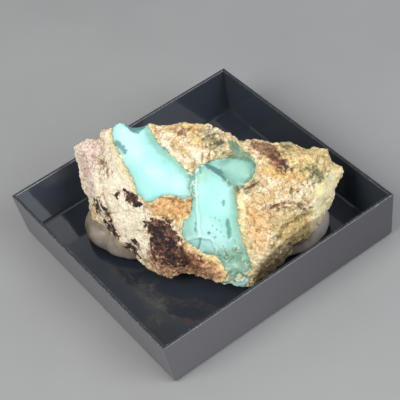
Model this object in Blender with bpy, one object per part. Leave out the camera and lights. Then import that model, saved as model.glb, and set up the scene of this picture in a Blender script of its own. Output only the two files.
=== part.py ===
"""Raw turquoise nugget, pressed into grey putty on a square black display tray.

The nugget is one broken lump of pale host rock, and a broad vein of turquoise crosses its front face.
The tray stands on Z = 0 with its sides along X and Y, and the nugget lies along the tray's diagonal.
Lengths in the lists are millimetres, and everything is scaled to metres as it is built.
"""

import math

import bmesh
import bpy
from mathutils import Vector, noise
from mathutils.geometry import delaunay_2d_cdt, intersect_point_line

MM = 0.001

# Tray: an open, thin-walled box whose walls lean in towards the foot
TRAY_SIDE = 50.0
TRAY_HEIGHT = 10.4
TRAY_LEAN = 0.7
TRAY_WALL = 0.9
TRAY_FLOOR = 1.0
TRAY_FOOT_ROUND = 0.8
TRAY_INNER_ROUND = 0.5
TRAY_RIM_ROUND = 0.12
TRAY_SHARP_ANGLE = math.radians(35.0)

# Spaces left between pieces that touch
PUTTY_TO_FLOOR = 0.3
STONE_TO_PUTTY = 0.55

# The broken front face is drawn as it looks from one eye point, along sight lines.
# A place on it is (across, up, toward): across and up on the plane through the middle of the tray's rim,
# and toward the eye from that plane.
FACE_AZIMUTH = math.radians(62.76)
FACE_ELEVATION = math.radians(44.27)
FACE_ROLL = math.radians(-12.78)
EYE_DISTANCE = 244.7
FACE_CENTRE = (0.63, -0.935)

# Rim of the front face, clockwise from the left end: the nugget's outline
RIM = [
    (-23.0, 9.3, -3.0), (-22.0, 10.2, -2.0), (-20.3, 11.2, -1.0), (-18.5, 11.1, 0.0), (-17.8, 12.3, 1.5),
    (-17.1, 12.9, 2.5), (-15.8, 13.5, 4.5), (-14.6, 14.2, 5.0), (-13.6, 13.7, 5.5), (-12.6, 12.8, 6.0),
    (-11.7, 11.9, 6.0), (-10.6, 12.9, 6.5), (-8.9, 13.9, 7.0), (-7.6, 13.4, 7.5), (-5.2, 13.7, 8.0),
    (-3.3, 13.9, 9.0), (0.1, 13.7, 9.5), (2.1, 13.3, 9.5), (4.1, 12.4, 9.5), (6.1, 11.3, 9.0),
    (7.0, 10.6, 8.5), (9.8, 10.8, 8.0), (13.1, 10.4, 7.5), (16.1, 10.4, 7.0), (17.8, 9.9, 6.5),
    (19.2, 9.4, 6.0), (20.5, 9.7, 5.5), (21.8, 9.7, 5.5), (23.2, 9.3, 5.0), (24.0, 7.4, 5.0),
    (25.2, 6.4, 5.5), (25.9, 5.2, 5.5), (25.8, 4.4, 5.5), (24.8, 2.9, 5.5), (24.2, 0.6, 5.5),
    (23.7, -1.4, 5.0), (22.8, -3.1, 5.0), (21.5, -4.5, 4.8), (20.5, -5.5, 4.8), (18.5, -6.8, 5.0),
    (16.2, -8.5, 5.8), (14.1, -11.2, 7.0), (11.7, -13.7, 7.6), (9.4, -15.7, 8.2), (8.6, -15.9, 8.4),
    (6.5, -15.9, 8.5), (4.1, -15.5, 8.0), (1.4, -14.3, 6.8), (-1.9, -13.6, 5.2), (-3.9, -13.3, 4.6),
    (-5.6, -14.2, 4.0), (-7.2, -13.6, 3.2), (-9.3, -12.5, 2.0), (-10.9, -11.0, 0.5), (-12.1, -9.8, -0.8),
    (-14.3, -7.8, -3.5), (-17.0, -5.8, -6.0), (-18.8, -4.0, -7.3), (-20.0, -1.4, -8.0), (-20.8, 1.2, -7.0),
    (-22.0, 4.6, -5.5), (-22.6, 7.2, -4.0),
]

# Ridges and steps of the front face, each a line of places that the surface folds along
FRONT_FOLDS = {
    "step from the end slab to the cream band": [
        (-17.8, 11.0, 2.2), (-17.3, 8.7, 2.0), (-17.3, 5.8, 1.6), (-17.8, 2.5, 1.0), (-17.9, 0.0, 0.6),
        (-17.5, -1.8, 0.4), (-16.4, -4.0, 0.4), (-15.2, -6.5, 0.6), (-13.7, -8.3, 0.5),
    ],
    "crest of the cream band": [
        (-16.4, 10.8, 4.6), (-15.6, 8.1, 5.2), (-14.6, 5.1, 5.8), (-13.4, 1.8, 6.4), (-12.1, -0.9, 6.6),
        (-10.7, -4.0, 6.4), (-10.1, -7.2, 5.2), (-10.7, -9.4, 3.0),
    ],
    "left edge of the left vein": [
        (-15.8, 12.2, 4.9), (-15.0, 9.6, 6.2), (-13.7, 6.7, 7.3), (-12.5, 3.6, 8.3), (-11.2, 0.9, 8.9),
        (-9.8, -0.4, 9.4), (-8.0, 0.2, 10.3), (-6.5, 0.8, 11.0), (-4.0, 0.5, 11.9), (-1.8, 0.5, 12.6),
    ],
    "upper edge of the left vein": [
        (-10.6, 12.3, 7.0), (-8.6, 11.5, 8.3), (-7.4, 9.8, 9.3), (-4.9, 7.9, 10.7), (-2.5, 6.1, 11.6),
        (-1.4, 5.1, 12.2),
    ],
    "crest over the scoop": [(0.5, 6.4, 14.0), (2.4, 5.1, 13.9), (4.1, 4.1, 13.4), (6.1, 2.4, 12.6)],
    "rim round the scoop": [
        (2.7, 7.6, 12.7), (5.1, 8.2, 11.8), (8.3, 8.1, 11.2), (10.6, 6.7, 11.9), (10.5, 4.7, 12.1),
        (9.1, 2.9, 11.9),
    ],
    "foot of the crest": [(1.6, 6.4, 12.3), (3.4, 5.5, 11.8), (5.1, 4.5, 11.4), (6.8, 3.2, 11.0)],
    "far side of the scoop": [
        (5.3, 7.4, 10.9), (8.2, 7.1, 10.1), (9.6, 6.1, 9.9), (9.4, 4.8, 9.9), (8.4, 3.7, 10.3),
    ],
    "ridge down the right vein": [(-0.6, 5.1, 13.2), (-0.5, 0.3, 13.3), (-0.4, -3.8, 12.7), (-0.2, -6.5, 11.9)],
    "right edge of the right vein": [
        (6.7, 0.4, 11.6), (7.0, -2.5, 11.2), (7.2, -5.2, 10.9), (7.8, -7.2, 10.6), (8.7, -9.6, 10.1),
        (9.0, -11.9, 9.7),
    ],
    "chipped foot of the right vein": [
        (-3.1, -5.4, 10.8), (-2.2, -7.5, 10.2), (0.0, -9.0, 9.9), (3.4, -10.3, 9.8), (5.1, -11.6, 9.6),
        (6.9, -13.0, 9.3),
    ],
    "edge of the right cheek": [
        (9.6, 1.8, 11.4), (8.9, -0.9, 12.0), (9.2, -4.5, 12.1), (10.2, -8.1, 12.0), (10.4, -11.2, 11.4),
        (10.6, -13.4, 10.2),
    ],
    "brow of the right face": [(11.2, 5.8, 12.2), (14.5, 5.6, 12.2), (18.8, 4.9, 11.3), (22.0, 4.3, 9.6)],
    "jaw of the right face": [(12.4, -11.0, 11.2), (14.8, -7.8, 11.5), (18.0, -4.9, 10.8), (21.3, -2.3, 8.6)],
}

# Places between the folds
FRONT_PLACES = [
    (-21.0, 9.0, -0.3), (-19.9, 6.3, -0.4), (-19.2, 2.7, -0.8), (-18.9, 8.9, 0.4),
    (-16.0, 3.6, 4.2), (-15.2, -0.9, 3.8), (-13.7, -4.5, 3.8), (-12.3, -7.2, 2.9),
    (-14.6, 13.2, 5.9), (-9.2, 12.9, 7.6), (-13.2, 10.8, 7.4), (-11.4, 8.7, 8.9), (-9.3, 9.6, 9.1),
    (-9.9, 5.1, 10.2), (-7.2, 6.3, 10.9), (-7.6, 2.7, 11.0), (-4.5, 3.6, 11.8),
    (-6.3, 11.2, 9.7), (-3.6, 11.9, 10.3), (-3.6, 9.4, 11.5), (-0.7, 10.8, 12.0), (-0.7, 8.0, 13.0),
    (2.2, 10.8, 12.0), (4.3, 10.1, 11.6), (1.6, 8.9, 12.9), (6.3, 9.2, 10.9),
    (4.6, 6.4, 11.4), (7.2, 5.4, 10.7),
    (2.5, 1.8, 13.6), (2.5, -1.8, 13.4), (4.0, -5.1, 12.7), (5.1, 0.0, 13.0), (5.4, -2.7, 12.5),
    (5.8, -7.2, 11.6), (1.9, -6.9, 11.7), (3.6, -8.5, 11.2),
    (-9.0, -2.4, 8.8), (-6.7, -1.3, 9.8), (-4.0, -0.9, 10.8), (-2.6, -2.2, 11.3), (-7.8, -4.4, 8.1),
    (-5.1, -4.0, 9.3), (-6.7, -6.9, 8.0), (-4.5, -7.4, 9.2), (-8.7, -8.0, 6.2), (-7.6, -10.6, 6.0),
    (-5.1, -10.1, 7.6), (-2.2, -10.5, 8.7), (0.7, -11.9, 8.9), (-5.4, -12.4, 5.6), (3.3, -13.7, 9.0),
    (12.3, 3.0, 12.8), (15.5, 2.6, 12.4), (13.6, -0.4, 13.2), (17.4, -0.6, 12.4), (20.6, 0.4, 10.3),
    (23.0, 1.4, 8.2), (13.0, -4.2, 13.1), (16.3, -3.6, 12.3), (12.3, -8.0, 12.5), (19.4, 2.4, 11.2),
    (8.7, 9.4, 10.4), (11.6, 8.7, 11.1), (14.5, 8.0, 11.3), (17.3, 8.0, 10.4), (20.2, 8.0, 9.0),
    (22.8, 6.9, 7.8), (24.2, 5.1, 7.4),
]

# Back and underside of the nugget: (along, aside, height), along the tray's diagonal towards +X +Y,
# aside towards +X -Y, and height above the ground
BACK_PLACES = [
    (-18.5, -6.8, 14.5), (-10.0, -7.6, 18.5), (-1.0, -7.4, 20.2), (7.5, -6.4, 17.0), (15.5, -8.2, 14.2),
    (22.0, -8.6, 11.8),
    (-19.5, -4.5, 10.2), (-13.5, -8.4, 11.2), (-5.5, -9.8, 11.6), (3.0, -8.8, 11.5), (10.5, -9.4, 9.2),
    (18.0, -8.4, 7.6), (23.5, -5.4, 8.2),
    (-16.5, -2.5, 4.6), (-9.0, -5.2, 4.0), (0.0, -6.2, 3.5), (7.5, -5.4, 3.6), (15.0, -5.2, 3.9),
    (21.0, -2.5, 5.6),
    (-12.0, 3.0, 3.6), (-4.5, 7.5, 3.3), (4.0, 8.5, 3.4), (10.5, 8.5, 3.3), (16.0, 2.5, 3.6),
    (-5.0, 0.5, 3.3), (5.5, 1.5, 3.2), (-1.0, 11.0, 3.4), (8.0, 12.0, 3.4),
]

# Outline of the turquoise on the front face: broken glassy and smooth, unlike the rock round it
VEIN_OUTLINE = [
    (-16.2, 12.4), (-14.6, 15.0), (-10.0, 14.6), (-8.4, 12.0), (-7.6, 10.1), (-4.9, 7.9), (-1.6, 5.4),
    (0.5, 6.6), (2.7, 7.6), (8.3, 7.8), (10.3, 6.4), (9.0, 3.4), (6.6, 2.0), (7.0, -2.5), (8.2, -7.4),
    (9.1, -11.9), (5.1, -11.4), (-2.2, -7.6), (-3.3, -5.0), (-1.4, -1.0), (-2.0, 0.6), (-8.0, 0.3),
    (-9.9, -0.4), (-12.5, 3.6),
]

# Roughness of the broken rock: size across and height of each grade of lump, and the size and slope of
# its chipped facets
ROCK_LUMPS = [(5.2, 0.6), (2.2, 0.3)]
ROCK_CHIPS = [(4.2, 0.34), (2.1, 0.26)]

# Each chip's tilt is noise read at its middle, spread so that neighbours differ, and shifted for X, Y and Z
CHIP_SPREAD = 7.3
CHIP_SHIFTS = [Vector((0.0, 0.0, 0.0)), Vector((31.7, 5.3, 11.9)), Vector((13.1, 47.9, 3.7))]

# The vein's own gentle lumps, how wide its border with the rock is, and how much of the rock's roughness the
# front face has
VEIN_LUMP_HEIGHT = 0.06
VEIN_LUMP_SIZE = 3.0
VEIN_EDGE = 0.8
FRONT_ROUGHNESS = 0.5

# Squares of the nugget's skin, how much of its stray spikes is smoothed away, and the faces that it keeps
SKIN_SQUARE = 0.62
SKIN_SMOOTHING = 0.25
STONE_TRIANGLES = 6600

# Putty: outline on the tray floor, height of its side, and the inset and rise of each ring of its dome
PUTTY_OUTLINE = [
    (-18.4, -14.0), (-16.9, -16.3), (-13.6, -17.6), (-9.4, -17.6), (-5.2, -16.5), (-2.4, -14.2),
    (2.0, -9.4), (7.0, -4.0), (12.5, 1.8), (17.2, 7.4), (19.0, 12.2), (18.7, 15.6), (16.8, 18.4),
    (13.4, 19.4), (9.0, 17.4), (3.5, 12.2), (-4.0, 5.4), (-11.0, -1.6), (-16.2, -8.2), (-18.6, -11.2),
]
PUTTY_SIDE_HEIGHT = 2.0
PUTTY_RINGS = [(0.8, 1.5), (1.5, 1.2), (2.0, 0.6)]
PUTTY_SQUARE = 0.45
PUTTY_LUMP_SIZE = 6.0
PUTTY_LUMP_HEIGHT = 0.55
PUTTY_TRIANGLES = 2000

# Colour, roughness and metallic value of each piece
STONE_FINISH = ((0.62, 0.48, 0.30, 1.0), 0.75, 0.0)
PUTTY_FINISH = ((0.26, 0.23, 0.21, 1.0), 0.60, 0.0)
TRAY_FINISH = ((0.012, 0.012, 0.014, 1.0), 0.18, 0.0)


def face_axes():
    """Directions across and up the front face, and toward the eye"""
    toward = Vector((
        math.sin(FACE_AZIMUTH) * math.cos(FACE_ELEVATION),
        -math.cos(FACE_AZIMUTH) * math.cos(FACE_ELEVATION),
        math.sin(FACE_ELEVATION),
    ))
    level = Vector((math.cos(FACE_AZIMUTH), math.sin(FACE_AZIMUTH), 0.0))
    above = toward.cross(level)
    across = math.cos(FACE_ROLL) * level + math.sin(FACE_ROLL) * above
    up = -math.sin(FACE_ROLL) * level + math.cos(FACE_ROLL) * above
    return across, up, toward


ACROSS, UP, TOWARD = face_axes()
FACE_ORIGIN = Vector((0.0, 0.0, TRAY_HEIGHT)) + FACE_CENTRE[0] * ACROSS + FACE_CENTRE[1] * UP


def from_face(across, up, toward):
    """Millimetre place of a point drawn on the front face"""
    shrink = 1.0 - toward / EYE_DISTANCE
    return FACE_ORIGIN + across * shrink * ACROSS + up * shrink * UP + toward * TOWARD


def to_face(place):
    """Where a millimetre place is seen on the front face, and how far toward the eye it is"""
    offset = place - FACE_ORIGIN
    toward = offset.dot(TOWARD)
    shrink = 1.0 - toward / EYE_DISTANCE
    return Vector((offset.dot(ACROSS) / shrink, offset.dot(UP) / shrink, toward))


def from_diagonal(along, aside, height):
    """Millimetre place of a point given along and aside of the tray's diagonal"""
    half = math.sqrt(0.5)
    return Vector(((along + aside) * half, (along - aside) * half, height))


def finish(obj, name, look):
    """Give the object a plain material of its own"""
    colour, roughness, metallic = look
    material = bpy.data.materials.new(name)
    material.use_nodes = True
    shader = material.node_tree.nodes["Principled BSDF"]
    shader.inputs["Base Color"].default_value = colour
    shader.inputs["Roughness"].default_value = roughness
    shader.inputs["Metallic"].default_value = metallic
    material.diffuse_color = colour
    obj.data.materials.append(material)


def add_object(name, bm, parent):
    """Turn millimetre mesh data into an object in metres"""
    bmesh.ops.scale(bm, vec=(MM, MM, MM), verts=bm.verts)
    mesh = bpy.data.meshes.new(name)
    bm.to_mesh(mesh)
    bm.free()
    obj = bpy.data.objects.new(name, mesh)
    bpy.context.scene.collection.objects.link(obj)
    obj.parent = parent
    return obj


def bake_modifiers(obj):
    """Make the object's mesh what its modifiers make of it"""
    bpy.context.view_layer.update()
    graph = bpy.context.evaluated_depsgraph_get()
    mesh = bpy.data.meshes.new_from_object(obj.evaluated_get(graph))
    obj.modifiers.clear()
    obj.data = mesh


def even_skin(obj, square):
    """Remake the object's surface as one closed skin of small squares"""
    remesh = obj.modifiers.new("even skin", 'REMESH')
    remesh.mode = 'VOXEL'
    remesh.voxel_size = square * MM
    bake_modifiers(obj)


def few_faces(obj, triangles):
    """Thin the object's faces out to about this many triangles, most where the shape needs them"""
    now = sum(len(face.vertices) - 2 for face in obj.data.polygons)
    thin = obj.modifiers.new("few faces", 'DECIMATE')
    thin.ratio = min(1.0, triangles / now)
    thin.use_collapse_triangulate = True


def inside_depth(spot, outline):
    """Distance from a spot on the face to an outline, positive inside it"""
    nearest = math.inf
    inside = False
    last = Vector(outline[-1])
    for corner in outline:
        here = Vector(corner)
        part = intersect_point_line(spot, last, here)[1]
        foot = last.lerp(here, min(1.0, max(0.0, part)))
        nearest = min(nearest, (spot - foot).length)
        if (here.y > spot.y) != (last.y > spot.y):
            crossing = here.x + (spot.y - here.y) * (last.x - here.x) / (last.y - here.y)
            if spot.x < crossing:
                inside = not inside
        last = here
    return nearest if inside else -nearest


def shell_faces(bm, rim, inner, folds, facing):
    """Cover the space inside the rim with triangles through the inner places, along the folds"""
    seen = [to_face(vert.co).to_2d() for vert in rim + inner]
    edges = [(i, (i + 1) % len(rim)) for i in range(len(rim))] + folds
    cover = delaunay_2d_cdt(seen, edges, [], 1, 1e-6)
    verts = rim + inner
    for face in cover[2]:
        corners = [verts[cover[3][i][0]] for i in face]
        if not facing:
            corners.reverse()
        bm.faces.new(corners)


def blocked_stone(bm):
    """The nugget as a few hundred flat facets"""
    rim = [bm.verts.new(from_face(*place)) for place in RIM]
    front = []
    folds = []
    for fold in FRONT_FOLDS.values():
        first = len(rim) + len(front)
        front += [bm.verts.new(from_face(*place)) for place in fold]
        folds += [(first + i, first + i + 1) for i in range(len(fold) - 1)]
    front += [bm.verts.new(from_face(*place)) for place in FRONT_PLACES]
    back = [bm.verts.new(from_diagonal(*place)) for place in BACK_PLACES]
    shell_faces(bm, rim, front, folds, True)
    shell_faces(bm, rim, back, [], False)


def rock_height(place):
    """Lumps and tilted, chipped facets of broken rock at a millimetre place"""
    height = 0.0
    for size, amount in ROCK_LUMPS:
        height += amount * noise.noise(place / size)
    for size, slope in ROCK_CHIPS:
        middle = noise.voronoi(place / size)[1][0]
        tilt = Vector(noise.noise(middle * CHIP_SPREAD + shift) for shift in CHIP_SHIFTS)
        height += slope * size * (place / size - middle).dot(tilt)
    return height


def roughen_stone(mesh):
    """Push the skin in and out by the rock's lumps, and leave the vein smooth"""
    moves = []
    for vert in mesh.vertices:
        place = vert.co / MM
        facing = vert.normal.dot(TOWARD)
        depth = inside_depth(to_face(place).to_2d(), VEIN_OUTLINE)
        rock = 1.0 if facing < 0.0 else min(1.0, max(0.0, 0.5 - depth / VEIN_EDGE))
        rough = 1.0 + (FRONT_ROUGHNESS - 1.0) * min(1.0, max(0.0, 1.0 + 2.0 * facing))
        vein_height = VEIN_LUMP_HEIGHT * noise.noise(place / VEIN_LUMP_SIZE)
        height = rock * rough * rock_height(place) + (1.0 - rock) * vein_height
        moves.append(vert.normal * (height * MM))
    for vert, move in zip(mesh.vertices, moves):
        vert.co += move
    bm = bmesh.new()
    bm.from_mesh(mesh)
    bmesh.ops.smooth_vert(
        bm, verts=bm.verts, factor=SKIN_SMOOTHING, use_axis_x=True, use_axis_y=True, use_axis_z=True
    )
    bm.to_mesh(mesh)
    bm.free()


def add_stone(parent):
    """The nugget: blocked out in facets, given an even skin, roughened and thinned"""
    bm = bmesh.new()
    blocked_stone(bm)
    bmesh.ops.recalc_face_normals(bm, faces=bm.faces)
    stone = add_object("turquoise_stone", bm, parent)
    even_skin(stone, SKIN_SQUARE)
    roughen_stone(stone.data)
    few_faces(stone, STONE_TRIANGLES)
    bake_modifiers(stone)
    finish(stone, "turquoise and host rock", STONE_FINISH)
    return stone


def add_stone_hollow(stone, parent):
    """The nugget grown on every side: the hollow that it presses into the putty"""
    hollow = bpy.data.objects.new("putty_hollow_cutter", stone.data.copy())
    bpy.context.scene.collection.objects.link(hollow)
    hollow.parent = parent
    even_skin(hollow, SKIN_SQUARE)
    for vert in hollow.data.vertices:
        vert.co += vert.normal * (STONE_TO_PUTTY * MM)
    even_skin(hollow, SKIN_SQUARE)
    hollow.hide_render = True
    hollow.display_type = 'WIRE'
    return hollow


def add_putty(stone, parent):
    """A rounded lump of putty under the nugget, with the nugget's shape pressed into it"""
    bm = bmesh.new()
    sole = bm.faces.new([bm.verts.new((x, y, TRAY_FLOOR + PUTTY_TO_FLOOR)) for x, y in PUTTY_OUTLINE])
    lifted = bmesh.ops.extrude_face_region(bm, geom=[sole])["geom"]
    cap = next(piece for piece in lifted if isinstance(piece, bmesh.types.BMFace))
    bmesh.ops.translate(bm, vec=(0.0, 0.0, PUTTY_SIDE_HEIGHT), verts=cap.verts)
    bmesh.ops.recalc_face_normals(bm, faces=bm.faces)
    for inset, rise in PUTTY_RINGS:
        bmesh.ops.inset_region(bm, faces=[cap], thickness=inset, depth=rise)
    putty = add_object("mounting_putty", bm, parent)
    rounded = putty.modifiers.new("rounded", 'SUBSURF')
    rounded.levels = rounded.render_levels = 2
    bake_modifiers(putty)
    for vert in putty.data.vertices:
        place = vert.co / MM
        above = min(1.0, (place.z - TRAY_FLOOR - PUTTY_TO_FLOOR) / PUTTY_SIDE_HEIGHT)
        lump = PUTTY_LUMP_HEIGHT * noise.noise(place / PUTTY_LUMP_SIZE)
        vert.co += vert.normal * (above * lump * MM)
    pressed = putty.modifiers.new("pressed in", 'BOOLEAN')
    pressed.operation = 'DIFFERENCE'
    pressed.solver = 'EXACT'
    pressed.object = add_stone_hollow(stone, parent)
    bake_modifiers(putty)
    even_skin(putty, PUTTY_SQUARE)
    few_faces(putty, PUTTY_TRIANGLES)
    bake_modifiers(putty)
    putty.data.shade_smooth()
    finish(putty, "grey putty", PUTTY_FINISH)


def add_tray(parent):
    """The open tray: a block with leaning sides, hollowed from the top"""
    bm = bmesh.new()
    bmesh.ops.create_cube(bm, size=1.0)
    bmesh.ops.scale(bm, vec=(TRAY_SIDE, TRAY_SIDE, TRAY_HEIGHT), verts=bm.verts)
    bmesh.ops.translate(bm, vec=(0.0, 0.0, TRAY_HEIGHT / 2.0), verts=bm.verts)
    foot = [vert for vert in bm.verts if vert.co.z < TRAY_HEIGHT / 2.0]
    foot_scale = 1.0 - 2.0 * TRAY_LEAN / TRAY_SIDE
    bmesh.ops.scale(bm, vec=(foot_scale, foot_scale, 1.0), verts=foot)
    bm.faces.ensure_lookup_table()
    lid = max(bm.faces, key=lambda face: face.calc_center_median().z)
    bmesh.ops.inset_region(bm, faces=[lid], thickness=TRAY_WALL)
    well = bmesh.ops.extrude_discrete_faces(bm, faces=[lid])["faces"][0]
    depth = TRAY_HEIGHT - TRAY_FLOOR
    bmesh.ops.translate(bm, vec=(0.0, 0.0, -depth), verts=well.verts)
    inner_side = TRAY_SIDE - 2.0 * TRAY_WALL
    well_scale = 1.0 - 2.0 * TRAY_LEAN * depth / TRAY_HEIGHT / inner_side
    bmesh.ops.scale(bm, vec=(well_scale, well_scale, 1.0), verts=well.verts)
    round_tray(bm)
    tray = add_object("display_tray", bm, parent)
    tray.data.set_sharp_from_angle(angle=TRAY_SHARP_ANGLE)
    finish(tray, "black gloss plastic", TRAY_FINISH)
    return tray


def round_tray(bm):
    """Round the tray's foot, corners, inner floor and rim, each by its own radius"""
    def soften(edges, radius, segments):
        bmesh.ops.bevel(
            bm, geom=edges, offset=radius, segments=segments, profile=0.5, affect='EDGES', material=-1
        )

    def ends(edge):
        return [vert.co for vert in edge.verts]

    half = TRAY_SIDE / 2.0 - TRAY_LEAN - 0.01
    soften([e for e in bm.edges if all(p.z < 0.01 for p in ends(e))], TRAY_FOOT_ROUND, 3)
    floor = [e for e in bm.edges if all(abs(p.z - TRAY_FLOOR) < 0.01 for p in ends(e)) and
             all(max(abs(p.x), abs(p.y)) < half for p in ends(e))]
    soften(floor, TRAY_INNER_ROUND, 2)
    rim = [e for e in bm.edges if all(p.z > TRAY_HEIGHT - 0.01 for p in ends(e))]
    soften(rim, TRAY_RIM_ROUND, 1)


def main():
    for old in list(bpy.data.objects):
        bpy.data.objects.remove(old, do_unlink=True)
    specimen = bpy.data.objects.new("specimen", None)
    bpy.context.scene.collection.objects.link(specimen)
    stone = add_stone(specimen)
    add_putty(stone, specimen)
    add_tray(specimen)


main()
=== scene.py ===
"""Raw turquoise nugget in grey putty on a square black display tray: its looks and its studio.

The nugget is built again from the same drawn net as the part's own solid, with a finer skin, and then
broken, cracked and coloured. Lengths in the lists are millimetres. A place on the front face is (across, up),
as seen from one eye point along sight lines, on the plane through the middle of the tray's rim. A third number
is how far toward the eye the place stands out of that plane.
"""

import math

import bmesh
import bpy
import numpy as np
from mathutils import Matrix, Vector, noise
from mathutils.bvhtree import BVHTree
from mathutils.geometry import delaunay_2d_cdt


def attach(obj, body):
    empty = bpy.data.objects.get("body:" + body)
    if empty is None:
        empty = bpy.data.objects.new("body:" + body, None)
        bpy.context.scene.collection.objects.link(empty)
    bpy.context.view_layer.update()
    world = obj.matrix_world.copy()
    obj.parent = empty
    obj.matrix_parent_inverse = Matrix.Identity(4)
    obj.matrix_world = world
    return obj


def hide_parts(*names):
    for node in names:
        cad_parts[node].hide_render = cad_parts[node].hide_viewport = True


bl_info = {
    "name": "Raw Turquoise Nugget",
    "version": (1, 0, 0),
    "blender": (4, 5, 0),
    "location": "3D View > Sidebar > Nugget",
    "description": "Builds a turquoise-veined stone pressed into putty on a black display tray",
    "category": "Object",
}

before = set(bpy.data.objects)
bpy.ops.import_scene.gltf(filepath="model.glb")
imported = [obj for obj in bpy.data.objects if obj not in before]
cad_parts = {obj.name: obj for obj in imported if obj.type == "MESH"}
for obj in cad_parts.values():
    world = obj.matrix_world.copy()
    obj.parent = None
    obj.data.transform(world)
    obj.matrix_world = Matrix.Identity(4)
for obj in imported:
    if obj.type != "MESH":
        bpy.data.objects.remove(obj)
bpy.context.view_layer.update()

MM = 0.001

# Tray sizes that the looks need, as in the part's source
TRAY_SIDE = 50.0
TRAY_HEIGHT = 10.4
TRAY_LEAN = 0.7
TRAY_FLOOR = 1.0
TRAY_HALF = TRAY_SIDE / 2.0

# The front face is drawn as it looks from this eye point
FACE_AZIMUTH = math.radians(62.76)
FACE_ELEVATION = math.radians(44.27)
FACE_ROLL = math.radians(-12.78)
EYE_DISTANCE = 244.7
FACE_CENTRE = (0.63, -0.935)

# The camera stands at the same eye point: its sensor in millimetres, and its focal length in the pixels of a
# picture this wide
SENSOR_WIDTH = 36.0
FOCAL_PIXELS = 1354.0
PICTURE_WIDTH = 400.0

# Stage: how far the floor reaches in millimetres, and the lamps, all at one distance in metres. Each has the
# direction that it stands in (across the view, toward the eye, up), its size and its tint.
FLOOR_REACH = 3000.0
LAMP_DISTANCE = 0.45
LAMPS = {
    "key": ((-0.75, 0.55, 0.9), 0.25, (1.0, 0.985, 0.96)),
    "fill": ((0.81, 0.58, 0.85), 0.28, (0.96, 0.98, 1.0)),
}

# Rim of the front face, clockwise from the left end: the nugget's outline
RIM = [
    (-23.0, 9.3, -3.0), (-22.0, 10.2, -2.0), (-20.3, 11.2, -1.0), (-18.5, 11.1, 0.0), (-17.9, 12.4, 1.5),
    (-17.2, 12.9, 2.5), (-15.9, 13.2, 4.5), (-14.6, 14.2, 5.0), (-13.6, 13.7, 5.2), (-12.6, 13.2, 4.6),
    (-11.7, 13.1, 4.4), (-10.6, 13.3, 5.0), (-8.9, 13.9, 7.0), (-7.6, 13.4, 7.5), (-5.2, 13.7, 8.0),
    (-3.3, 13.9, 9.0), (0.1, 13.7, 9.5), (2.1, 13.3, 9.5), (4.1, 12.4, 9.5), (6.1, 11.3, 9.0),
    (7.0, 10.6, 8.5), (9.8, 10.8, 8.0), (13.1, 10.4, 7.5), (16.1, 10.4, 7.0), (17.8, 9.9, 6.5),
    (19.2, 9.4, 6.0), (20.5, 9.7, 5.5), (21.8, 9.7, 5.5), (23.2, 9.3, 5.0), (24.0, 7.4, 5.0),
    (25.2, 6.4, 5.5), (25.9, 5.2, 5.5), (25.8, 4.4, 5.5), (24.7, 2.9, 5.5), (24.0, 0.6, 5.5),
    (23.4, -1.4, 5.0), (22.4, -3.4, 5.0), (21.3, -4.6, 4.8), (20.2, -6.0, 4.8), (19.4, -7.0, 4.8),
    (18.4, -7.5, 5.0), (17.0, -8.4, 5.6), (16.5, -9.6, 5.9), (14.4, -12.0, 6.8), (12.0, -14.2, 7.4),
    (9.6, -15.9, 8.2), (8.6, -15.9, 8.4), (6.5, -15.9, 8.5), (4.1, -15.5, 8.0), (1.4, -14.3, 6.8),
    (-1.9, -13.6, 5.2), (-3.9, -13.3, 4.6), (-5.6, -14.2, 4.0), (-7.2, -13.6, 3.2), (-9.3, -12.5, 2.0),
    (-10.9, -11.0, 0.5), (-12.1, -9.8, -0.8), (-14.3, -7.8, -3.5), (-17.0, -5.8, -6.0), (-18.8, -4.0, -7.3),
    (-20.0, -1.4, -8.0), (-20.8, 1.2, -7.0), (-22.0, 4.6, -5.5), (-22.6, 7.2, -4.0),
]

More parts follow.
